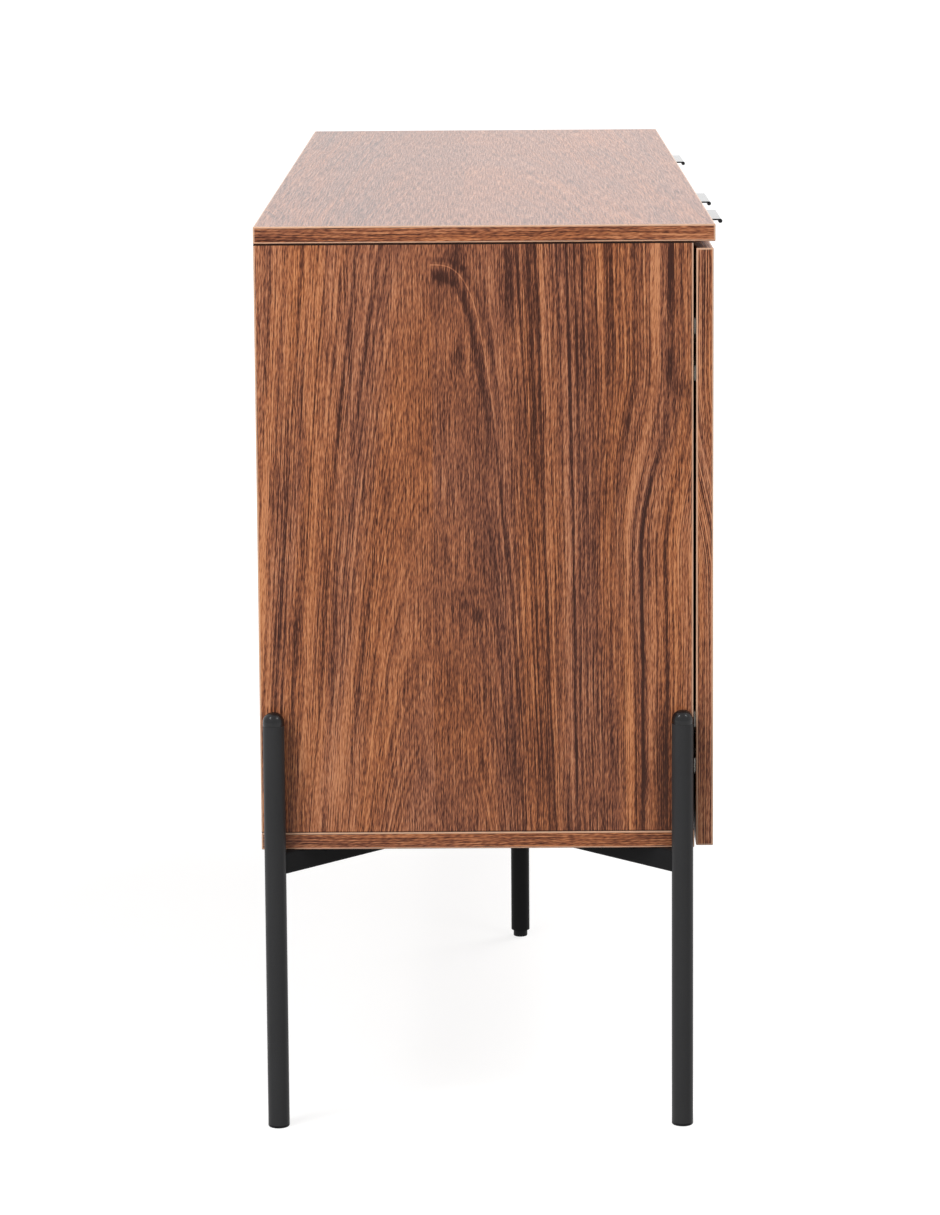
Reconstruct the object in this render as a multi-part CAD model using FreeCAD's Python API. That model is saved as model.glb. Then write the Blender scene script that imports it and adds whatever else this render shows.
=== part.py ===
import FreeCAD, Part
import math
import os

# A walnut-look credenza on round steel legs: two doors beside three drawers.
# Millimetres. +X runs along the length, the front faces -Y, +Z is up.
# The origin is on the floor, under the middle of the whole object's box.

os.makedirs("parts", exist_ok=True)
Vec = FreeCAD.Vector
X_AXIS = Vec(1, 0, 0)
Y_AXIS = Vec(0, 1, 0)
Z_AXIS = Vec(0, 0, 1)

# Carcass boards
length = 1200.0
top_depth = 400.0
top_overhang = 19.0
panel_height = 522.0
board_thickness = 15.0
board_arris = 0.8
bottom_lip = 1.0
clear_height = 249.0
bay_count = 3

# Back panel in its grooves
back_thickness = 3.0
back_groove_depth = 5.0
back_groove_inset = 4.5
back_clearance = 0.1

# Doors and drawer fronts
front_thickness = 15.0
front_gap = 2.5
front_end_inset = 1.0
front_rise = 1.5
finger_gap = 6.0
front_seam = 3.0
drawer_seam = 4.0
drawer_count = 3

# Edge pulls
pull_length = 95.0
pull_sheet = 1.5
pull_reach = 21.0
pull_bead_radius = 2.0
pull_lip_height = 24.0
pull_seam_inset = 45.0
pull_screw_inset = 20.0
pull_screw_drop = 14.0
pull_hole_radius = 1.8

# Legs with their domed caps and glides
leg_radius = 9.5
leg_wall = 1.5
leg_rise = 114.0
leg_back_inset = 12.5
leg_front_inset = 10.0
leg_side_gap = 0.2
cap_band = 3.0
cap_height = 9.0
glide_height = 2.5
glide_round = 1.2
plug_length = 12.0
plug_clearance = 0.15

# Corner braces under the bottom board
brace_width = 16.0
brace_height = 16.5
brace_length = 165.0
brace_round = 2.0
brace_plate_thickness = 3.0
brace_plate_width = 44.0
brace_plate_length = 100.0
brace_plate_start = 42.0
brace_screw_inset = 14.0
weld_gap = 0.1

# Middle support with its levelling foot
support_radius = 9.5
support_wall = 1.5
support_back_inset = 232.0
support_plate_size = 60.0
support_plate_thickness = 3.0
support_collar_radius = 12.0
support_collar_height = 4.0
support_screw_inset = 8.0
foot_radius = 7.2
foot_height = 7.0
foot_stem = 40.0
foot_round = 0.8

# Shelves, pins and the rows of holes that take them
shelf_thickness = 15.0
shelf_clearance = 1.0
shelf_setback = 18.0
pin_radius = 2.5
pin_clearance = 0.06
pin_depth = 7.0
pin_head_radius = 3.5
pin_head_length = 9.0
row_inset = 37.0
row_pitch = 32.0
row_holes = 5

# Cam locks and bolts between the uprights and the boards
cam_radius = 7.4
cam_depth = 12.0
cam_clearance = 0.15
cam_setback = 34.0
cam_front_inset = 60.0
cam_back_inset = 70.0
cam_slot_length = 8.0
cam_slot_width = 1.4
cam_slot_depth = 1.2
cam_bolt_radius = 3.2
cam_bolt_hold = 3.0
cam_bolt_bite = 11.0

# Dowels beside the cams
dowel_radius = 4.0
dowel_length = 30.0
dowel_share = 2.0 / 3.0
dowel_clearance = 0.1
dowel_pitch = 32.0

# Concealed hinges: distances from the door's hinged edge, its face and its ends
hinge_end_inset = 90.0
cup_radius = 17.5
cup_clearance = 0.1
cup_wall = 0.8
cup_depth = 12.6
cup_inset = 21.5
cup_flange_sheet = 1.0
cup_flange_near = 9.0
cup_flange_far = 14.0
cup_flange_height = 58.0
cup_flange_round = 4.0
cup_screw_spacing = 48.0
cup_screw_offset = 6.0
link_pivot_inset = 18.0
link_pivot_depth = 18.8
link_length = 21.6
link_angle = 40.1
link_bow = 2.5
link_sheet = 1.6
link_width = 9.0
link_knuckle_radius = 2.2
link_tip_radius = 1.2
hinge_pin_radius = 1.3
hinge_pin_clearance = 0.05
arm_sheet = 1.2
arm_side_gap = 0.3
arm_web_inset = 20.0
arm_web_start = 25.0
arm_tip_radius = 2.4
arm_length = 66.0
hinge_plate_thickness = 2.0
hinge_plate_depth = 26.0
hinge_plate_height = 48.0
hinge_plate_screw_spacing = 32.0
hinge_plate_round = 3.0

# Drawer boxes
drawer_side_thickness = 12.0
drawer_side_height = 120.0
drawer_side_rise = 22.0
drawer_back_room = 23.8
drawer_bottom_thickness = 3.0
drawer_bottom_rise = 9.0
drawer_groove_depth = 5.0
drawer_groove_clearance = 0.1
drawer_cam_radius = 6.0
drawer_cam_depth = 9.0
drawer_cam_setback = 24.0
drawer_cam_rise = 32.0
drawer_back_screw_rise = 24.0
drawer_back_screw_pitch = 34.0

# Telescopic runners: distances across the gap, from the cabinet to the drawer
rail_space = 12.7
rail_back_room = 20.3
rail_front_inset = 3.0
rail_rise = 86.0
rail_sheet = 1.2
cabinet_rail_height = 45.0
cabinet_rail_reach = 9.5
mid_rail_start = 3.4
mid_rail_height = 36.0
mid_rail_reach = 11.0
drawer_rail_start = 5.6
drawer_rail_height = 26.4
ball_gap = 0.3
ball_strip_margin = 0.9
ball_strip_length = 170.0
rail_screw_insets = (37.0, 261.0)

# Screws, bolts and bumpers
screw_radius = 1.6
screw_length = 12.0
screw_head_radius = 3.2
screw_head_height = 1.4
screw_clearance = 0.1
screw_slot_width = 0.7
screw_slot_depth = 0.7
screw_slot_share = 0.6
bolt_radius = 2.8
bolt_head_radius = 4.4
bolt_head_height = 2.6
bolt_socket_share = 0.6
bolt_bite = 7.0
bolt_low_rise = 36.0
bolt_pitch = 40.0
bumper_radius = 2.6
bumper_gap = 0.2
bumper_end_inset = 42.0

overrun = 1.0

# Levels and planes worked out from the sizes above
half_length = length / 2
bay = length / bay_count
panel_depth = top_depth - top_overhang
overall_depth = panel_depth + front_gap + front_thickness + pull_reach + pull_bead_radius
back_y = overall_depth / 2
carcass_y = back_y - panel_depth
front_back_y = carcass_y - front_gap
front_face_y = front_back_y - front_thickness
back_panel_y = back_y - back_groove_inset - 2 * back_clearance - back_thickness
drawer_side_length = back_panel_y - drawer_back_room - front_back_y
bottom_top_z = clear_height + board_thickness
panel_top_z = bottom_top_z + panel_height
top_z = panel_top_z + board_thickness
front_low_z = clear_height + front_rise
front_high_z = panel_top_z - finger_gap
shelf_mid_z = bottom_top_z + panel_height / 2
left_seam_x = -half_length + bay
right_seam_x = half_length - bay
drawer_front_height = (front_high_z - front_low_z - drawer_seam * (drawer_count - 1)) / drawer_count
leg_top_z = clear_height + leg_rise
support_y = back_y - support_back_inset


def span_box(low, high):
    """A box between two corners."""
    size = Vec(*high) - Vec(*low)
    return Part.makeBox(size.x, size.y, size.z, Vec(*low))


def board(low, high):
    """A laminated board, whose arrises are eased."""
    slab = span_box(low, high)
    return slab.makeFillet(board_arris, slab.Edges)


def rod(radius, start, direction, reach):
    return Part.makeCylinder(radius, reach, Vec(*start), direction)


def drill(shape, holes):
    """The shape with a list of cutters taken away."""
    return shape.cut(holes) if holes else shape


def aimed(shape, place, direction):
    """A shape that was made along +Z at the origin, turned to a direction and moved."""
    turned = shape.copy()
    turned.Placement = FreeCAD.Placement(Vec(*place), FreeCAD.Rotation(Z_AXIS, direction))
    return turned


def rounded_plate(low, high, radius, axis):
    """A sheet between two corners, whose four corner edges along one axis are rounded."""
    plate = span_box(low, high)
    across = []
    for edge in plate.Edges:
        run = edge.Vertexes[1].Point - edge.Vertexes[0].Point
        if abs(run.dot(axis)) > run.Length / 2:
            across.append(edge)
    return plate.makeFillet(radius, across)


def screw(place, direction, shank_length=screw_length):
    """A wood screw with a pan head and a cross recess. The direction points into the wood."""
    head = rod(screw_head_radius, (0, 0, -screw_head_height), Z_AXIS, screw_head_height)
    head = head.makeFillet(screw_head_height / 2, [head.Edges[2]])
    shank = rod(screw_radius, (0, 0, 0), Z_AXIS, shank_length)
    half_slot = screw_head_radius * screw_slot_share
    cross = []
    for turn in (0, 90):
        slot = span_box(
            (-half_slot, -screw_slot_width / 2, -screw_head_height - overrun),
            (half_slot, screw_slot_width / 2, screw_slot_depth - screw_head_height),
        )
        slot.rotate(Vec(), Z_AXIS, turn)
        cross.append(slot)
    return aimed(head.fuse(shank).cut(cross), place, direction)


def screw_hole(place, direction, depth=screw_length):
    """The pilot hole of a screw, a little wider and deeper than its shank."""
    start = Vec(*place) - direction * overrun
    return rod(screw_radius + screw_clearance, start, direction, depth + overrun + screw_clearance)


def save(node, solids):
    """Writes one sub-part, from a solid or a list of solids."""
    solids = solids if isinstance(solids, list) else [solids]
    shape = solids[0] if len(solids) == 1 else Part.makeCompound(solids)
    shape.exportStep("parts/" + node + ".step")


# Uprights: each one's name, low X, the side of its cam locks, and the sides with shelf rows
uprights = [
    ("left_end_panel", -half_length, 1, (1,)),
    ("left_partition", left_seam_x - board_thickness / 2, -1, (-1, 1)),
    ("right_partition", right_seam_x - board_thickness / 2, -1, (-1,)),
    ("right_end_panel", half_length - board_thickness, -1, ()),
]
row_low_z = shelf_mid_z - row_pitch * (row_holes - 1) / 2
row_ys = (carcass_y + row_inset, back_panel_y - row_inset)
cam_ys = (carcass_y + cam_front_inset, back_y - cam_back_inset)


def upright_face(low_x, side):
    """The X of an upright's face on one side."""
    return low_x + (board_thickness if side > 0 else 0)


def shelf_row_holes(low_x, sides):
    holes = []
    for side in sides:
        face = upright_face(low_x, side)
        for y in row_ys:
            for step in range(row_holes):
                z = row_low_z + row_pitch * step
                mouth = Vec(face + side * overrun, y, z)
                reach = pin_depth + overrun + pin_clearance
                holes.append(rod(pin_radius + pin_clearance, mouth, X_AXIS * -side, reach))
    return holes


def cam_sets(low_x, side):
    """The cam locks of one upright: each as its face point and the way to the board it pulls."""
    face = upright_face(low_x, side)
    spots = []
    for y in cam_ys:
        spots.append((Vec(face, y, bottom_top_z + cam_setback), -1))
        spots.append((Vec(face, y, panel_top_z - cam_setback), 1))
    return spots


def cam_bolt(low_x, spot, way, extra):
    """A bolt, or its hole with some extra radius, from inside the cam into the board."""
    middle = low_x + board_thickness / 2
    start = Vec(middle, spot.y, spot.z + way * (cam_radius - cam_bolt_hold - extra))
    reach = cam_setback - cam_radius + cam_bolt_hold + cam_bolt_bite + 2 * extra
    return rod(cam_bolt_radius + extra, start, Z_AXIS * way, reach)


def cam_lock(low_x, side, spot, way):
    """A zinc cam in its bore, with a cross slot and the notch for its bolt's head."""
    lock = rod(cam_radius, spot, X_AXIS * -side, cam_depth)
    cross = []
    for turn in (0, 90):
        slot = span_box(
            (-cam_slot_depth, -cam_slot_length / 2, -cam_slot_width / 2),
            (cam_slot_depth, cam_slot_length / 2, cam_slot_width / 2),
        )
        slot.rotate(Vec(), X_AXIS, turn)
        slot.translate(spot)
        cross.append(slot)
    notch = cam_bolt(low_x, spot, way, cam_clearance)
    return lock.cut(cross + [notch])


def cam_bore(side, spot):
    start = spot + X_AXIS * side * overrun
    return rod(cam_radius + cam_clearance, start, X_AXIS * -side, cam_depth + cam_clearance + overrun)


def dowel_spots(low_x):
    """Each dowel's joint plane point and the way into the upright."""
    middle = low_x + board_thickness / 2
    spots = []
    for y in (cam_ys[0] + dowel_pitch, cam_ys[1] - dowel_pitch):
        spots.append((Vec(middle, y, bottom_top_z), 1))
        spots.append((Vec(middle, y, panel_top_z), -1))
    return spots


def dowel(spot, way, extra):
    long_end = dowel_length * dowel_share + extra
    start = spot + Z_AXIS * way * long_end
    return rod(dowel_radius + extra, start, Z_AXIS * -way, dowel_length + 2 * extra)


fitting_holes = []
cam_fittings = []
dowels = []
for name, low_x, cam_side, _ in uprights:
    for spot, way in cam_sets(low_x, cam_side):
        fitting_holes.append(cam_bolt(low_x, spot, way, cam_clearance))
        cam_fittings.append(cam_lock(low_x, cam_side, spot, way))
        cam_fittings.append(cam_bolt(low_x, spot, way, 0))
    for spot, way in dowel_spots(low_x):
        fitting_holes.append(dowel(spot, way, dowel_clearance))
        dowels.append(dowel(spot, way, 0))
save("cam_fittings", cam_fittings)
save("dowels", dowels)

# The back panel and the groove that it stands in
groove = span_box(
    (
        -half_length + board_thickness - back_groove_depth,
        back_panel_y - back_clearance,
        bottom_top_z - back_groove_depth,
    ),
    (
        half_length - board_thickness + back_groove_depth,
        back_y - back_groove_inset,
        panel_top_z + back_groove_depth,
    ),
)
back_panel = span_box(
    (
        -half_length + board_thickness - back_groove_depth + back_clearance,
        back_panel_y,
        bottom_top_z - back_groove_depth + back_clearance,
    ),
    (
        half_length - board_thickness + back_groove_depth - back_clearance,
        back_panel_y + back_thickness,
        panel_top_z + back_groove_depth - back_clearance,
    ),
)
save("back_panel", back_panel)

# Legs: each one's name, the end it stands at, and its axis
leg_side_x = half_length + leg_side_gap + leg_radius
legs = []
for end_name, end in (("left", -1), ("right", 1)):
    legs.append(("back_" + end_name, end, 1, Vec(end * leg_side_x, back_y - leg_back_inset, 0)))
    legs.append(("front_" + end_name, end, -1, Vec(end * leg_side_x, carcass_y + leg_front_inset, 0)))

# Bolts that clamp the legs to the end panels, from inside the cabinet
leg_bolts = []
bolt_holes = []
for _, end, _, axis in legs:
    for step in range(2):
        z = clear_height + bolt_low_rise + bolt_pitch * step
        inner_face = Vec(end * (half_length - board_thickness), axis.y, z)
        way = X_AXIS * end
        reach = board_thickness + leg_side_gap + bolt_bite
        head = rod(bolt_head_radius, inner_face - way * bolt_head_height, way, bolt_head_height)
        socket = rod(bolt_radius * bolt_socket_share, inner_face - way * (bolt_head_height + overrun), way,
                     bolt_head_height * bolt_socket_share + overrun)
        shank = rod(bolt_radius, inner_face, way, reach)
        leg_bolts.append(head.fuse(shank).cut(socket))
        hole_start = inner_face - way * overrun
        bolt_holes.append(rod(bolt_radius + screw_clearance, hole_start, way, reach + 2 * overrun))

# Hinges: name, the X of the door's hinged edge, the way inwards, and the upright's face
left_door_x0 = -half_length + front_end_inset
left_door_x1 = left_seam_x - front_seam / 2
middle_door_x0 = left_seam_x + front_seam / 2
middle_door_x1 = right_seam_x - front_seam / 2
drawer_x0 = right_seam_x + front_seam / 2
drawer_x1 = half_length - front_end_inset
hinge_zs = (front_low_z + hinge_end_inset, front_high_z - hinge_end_inset)
hinge_sides = [
    ("left", left_door_x0, 1, -half_length + board_thickness),
    ("middle", middle_door_x1, -1, right_seam_x - board_thickness / 2),
]


def door_point(edge_x, inwards, inset, depth, z):
    """A point by its distances from a door's hinged edge and from its face."""
    return Vec(edge_x + inwards * inset, front_face_y + depth, z)


def hinge_box(edge_x, inwards, near, far, shallow, deep, low, high):
    """A box by distances from a door's hinged edge, its face and the floor."""
    xs = sorted((edge_x + inwards * near, edge_x + inwards * far))
    return (xs[0], front_face_y + shallow, low), (xs[1], front_face_y + deep, high)


def hinge_cup(edge_x, inwards, z):
    """A pressed cup with its flange, seen from the back of the door."""
    bottom = front_thickness - cup_depth
    centre = door_point(edge_x, inwards, cup_inset, bottom, z)
    shell = rod(cup_radius, centre, Y_AXIS, cup_depth)
    low, high = hinge_box(
        edge_x, inwards, cup_inset - cup_flange_near, cup_inset + cup_flange_far, front_thickness,
        front_thickness + cup_flange_sheet, z - cup_flange_height / 2, z + cup_flange_height / 2,
    )
    flange = rounded_plate(low, high, cup_flange_round, Y_AXIS)
    hollow_start = centre + Y_AXIS * cup_wall
    hollow = rod(cup_radius - cup_wall, hollow_start, Y_AXIS, cup_depth + cup_flange_sheet)
    holes = [hollow]
    for place in cup_screw_places(edge_x, inwards, z):
        holes.append(screw_hole(place, -Y_AXIS))
    return shell.fuse(flange).cut(holes)


def cup_screw_places(edge_x, inwards, z):
    depth = front_thickness + cup_flange_sheet
    inset = cup_inset + cup_screw_offset
    half = cup_screw_spacing / 2
    return [door_point(edge_x, inwards, inset, depth, z + side * half) for side in (-1, 1)]


def cup_bore(edge_x, inwards, z):
    bottom = front_thickness - cup_depth - cup_clearance
    centre = door_point(edge_x, inwards, cup_inset, bottom, z)
    return rod(cup_radius + cup_clearance, centre, Y_AXIS, cup_depth + overrun)


def hinge_link(edge_x, inwards, z):
    """The bowed link from the arm's pin to the inside of the cup, with the door shut."""
    angle = math.radians(link_angle)
    along = Vec(inwards * math.cos(angle), -math.sin(angle), 0)
    aside = Vec(inwards * math.sin(angle), math.cos(angle), 0)
    low = z - link_width / 2
    pivot = door_point(edge_x, inwards, link_pivot_inset, link_pivot_depth, low)
    tip = pivot + along * link_length
    crown = pivot + along * (link_length / 2) + aside * link_bow
    half = aside * (link_sheet / 2)
    outline = [pivot + half, crown + half, tip + half, tip - half, crown - half, pivot - half]
    strap = Part.Face(Part.makePolygon(outline + outline[:1])).extrude(Z_AXIS * link_width)
    knuckle = rod(link_knuckle_radius, pivot, Z_AXIS, link_width)
    nose = rod(link_tip_radius, tip, Z_AXIS, link_width)
    bore = rod(hinge_pin_radius + hinge_pin_clearance, pivot - Z_AXIS * overrun, Z_AXIS,
               link_width + 2 * overrun)
    return strap.fuse([knuckle, nose]).removeSplitter().cut(bore)


def hinge_arm(edge_x, inwards, face_x, z):
    """The channel that holds the link's pin and sits on the mounting plate."""
    face_inset = (face_x - edge_x) * inwards
    seat = face_inset + hinge_plate_thickness
    outer = arm_web_inset + arm_sheet
    inner_half = link_width / 2 + arm_side_gap
    arm_end = arm_web_start + arm_length
    pivot = (link_pivot_inset, link_pivot_depth)
    outline = [
        (pivot[0], pivot[1] - arm_tip_radius),
        (pivot[0] + arm_tip_radius, pivot[1]),
        (outer, arm_web_start),
        (outer, arm_end),
        (seat, arm_end),
        (seat, arm_web_start + arm_tip_radius * 2),
        (pivot[0] - arm_tip_radius, pivot[1]),
    ]
    cheeks = []
    for low in (z - inner_half - arm_sheet, z + inner_half):
        points = [door_point(edge_x, inwards, inset, depth, low) for inset, depth in outline]
        cheek = Part.Face(Part.makePolygon(points + points[:1])).extrude(Z_AXIS * arm_sheet)
        cheeks.append(cheek)
    low, high = hinge_box(
        edge_x, inwards, arm_web_inset, outer, arm_web_start, arm_end,
        z - inner_half - arm_sheet, z + inner_half + arm_sheet,
    )
    web = span_box(low, high)
    half_pin = inner_half + arm_sheet
    pin_start = door_point(edge_x, inwards, *pivot, z - half_pin)
    pin = rod(hinge_pin_radius, pin_start, Z_AXIS, 2 * half_pin)
    return web.fuse(cheeks + [pin]).removeSplitter()


def hinge_plate_y():
    return carcass_y + row_inset


def plate_screw_places(edge_x, inwards, face_x, z):
    x = face_x + inwards * hinge_plate_thickness
    half = hinge_plate_screw_spacing / 2
    return [Vec(x, hinge_plate_y(), z + side * half) for side in (-1, 1)]


def hinge_plate(edge_x, inwards, face_x, z):
    xs = sorted((face_x, face_x + inwards * hinge_plate_thickness))
    plate = rounded_plate(
        (xs[0], hinge_plate_y() - hinge_plate_depth / 2, z - hinge_plate_height / 2),
        (xs[1], hinge_plate_y() + hinge_plate_depth / 2, z + hinge_plate_height / 2),
        hinge_plate_round, X_AXIS,
    )
    places = plate_screw_places(edge_x, inwards, face_x, z)
    return plate.cut([screw_hole(place, X_AXIS * -inwards) for place in places])


hinge_mounts = []
inside_screws = []
inside_holes = []
cup_screws = {}
for side_name, edge_x, inwards, face_x in hinge_sides:
    cups = []
    links = []
    cup_screws[side_name] = []
    for z in hinge_zs:
        cups.append(hinge_cup(edge_x, inwards, z))
        links.append(hinge_link(edge_x, inwards, z))
        hinge_mounts.append(hinge_arm(edge_x, inwards, face_x, z))
        hinge_mounts.append(hinge_plate(edge_x, inwards, face_x, z))
        for place in cup_screw_places(edge_x, inwards, z):
            cup_screws[side_name].append(screw(place, -Y_AXIS, screw_length - cup_flange_sheet))
        for place in plate_screw_places(edge_x, inwards, face_x, z):
            inside_screws.append(screw(place, X_AXIS * -inwards))
            inside_holes.append(screw_hole(place, X_AXIS * -inwards))
    save(side_name + "_hinge_cups", cups)
    save(side_name + "_hinge_links", links)
save("hinge_mounts", hinge_mounts)


# Edge pulls
def pull_screw_places(x0, x1, top):
    y = front_back_y + pull_sheet
    z = top - pull_screw_drop
    return [Vec(x, y, z) for x in (x0 + pull_screw_inset, x1 - pull_screw_inset)]


def edge_pull(x0, x1, top):
    """A sheet folded over a front's top edge, with a round bead along its front."""
    lip_y = front_back_y + pull_sheet
    bead_y = front_face_y - pull_reach
    plate = span_box((x0, bead_y, top), (x1, lip_y, top + pull_sheet))
    lip = span_box((x0, front_back_y, top - pull_lip_height), (x1, lip_y, top + pull_sheet))
    bead_z = top + pull_sheet - pull_bead_radius
    bead = rod(pull_bead_radius, (x0, bead_y, bead_z), X_AXIS, x1 - x0)
    holes = []
    for place in pull_screw_places(x0, x1, top):
        start = place - Y_AXIS * (pull_sheet + overrun)
        holes.append(rod(pull_hole_radius, start, Y_AXIS, pull_sheet + 2 * overrun))
    return plate.fuse([lip, bead]).removeSplitter().cut(holes)


def pull_screws(x0, x1, top):
    return [screw(place, -Y_AXIS) for place in pull_screw_places(x0, x1, top)]


def pull_pilots(x0, x1, top):
    return [screw_hole(place, -Y_AXIS) for place in pull_screw_places(x0, x1, top)]


# Doors
doors = [
    ("left", left_door_x0, left_door_x1, left_seam_x - pull_seam_inset - pull_length),
    ("middle", middle_door_x0, middle_door_x1, left_seam_x + pull_seam_inset),
]
for (door_name, x0, x1, pull_x), (_, edge_x, inwards, _) in zip(doors, hinge_sides):
    pull_span = (pull_x, pull_x + pull_length, front_high_z)
    holes = pull_pilots(*pull_span)
    for z in hinge_zs:
        holes.append(cup_bore(edge_x, inwards, z))
        for place in cup_screw_places(edge_x, inwards, z):
            holes.append(screw_hole(place, -Y_AXIS))
    leaf = board((x0, front_face_y, front_low_z), (x1, front_back_y, front_high_z))
    save(door_name + "_door", drill(leaf, holes))
    save(door_name + "_door_pull", edge_pull(*pull_span))
    save(door_name + "_door_screws", cup_screws[door_name] + pull_screws(*pull_span))

# Drawers and their runners
drawer_bay_x0 = right_seam_x + board_thickness / 2
drawer_bay_x1 = half_length - board_thickness
rail_y0 = carcass_y + rail_front_inset
rail_y1 = back_panel_y - rail_back_room
drawer_names = ("bottom_drawer", "middle_drawer", "top_drawer")


def channel(face_x, way, near, far, half_height, z, web_far):
    """A runner's channel section, whose web is on its near or its far side."""
    edges = sorted((face_x + way * near, face_x + way * far))
    outer = span_box((edges[0], rail_y0, z - half_height), (edges[1], rail_y1, z + half_height))
    keep = half_height - rail_sheet
    if web_far:
        gap = sorted((face_x + way * (near - overrun), face_x + way * (far - rail_sheet)))
    else:
        gap = sorted((face_x + way * (near + rail_sheet), face_x + way * (far + overrun)))
    hollow = span_box((gap[0], rail_y0 - overrun, z - keep), (gap[1], rail_y1 + overrun, z + keep))
    return outer.cut(hollow)


def ball_strips(face_x, way, z):
    """The ball cages that ride on a middle rail, above and below it on both of its sides."""
    strips = []
    mid_half = mid_rail_height / 2
    outer_far = cabinet_rail_height / 2 - rail_sheet - ball_gap
    inner_near = drawer_rail_height / 2 + ball_gap
    xs = (mid_rail_start + ball_strip_margin, cabinet_rail_reach - ball_strip_margin)
    outer_xs = sorted((face_x + way * xs[0], face_x + way * xs[1]))
    xs = (drawer_rail_start + ball_strip_margin, mid_rail_reach - ball_strip_margin)
    inner_xs = sorted((face_x + way * xs[0], face_x + way * xs[1]))
    for side in (-1, 1):
        zs = sorted((z + side * mid_half, z + side * outer_far))
        low = (outer_xs[0], rail_y1 - ball_strip_length, zs[0])
        strips.append(span_box(low, (outer_xs[1], rail_y1, zs[1])))
        zs = sorted((z + side * inner_near, z + side * (mid_half - rail_sheet)))
        high = (inner_xs[1], rail_y0 + ball_strip_length, zs[1])
        strips.append(span_box((inner_xs[0], rail_y0, zs[0]), high))
    return strips


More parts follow.
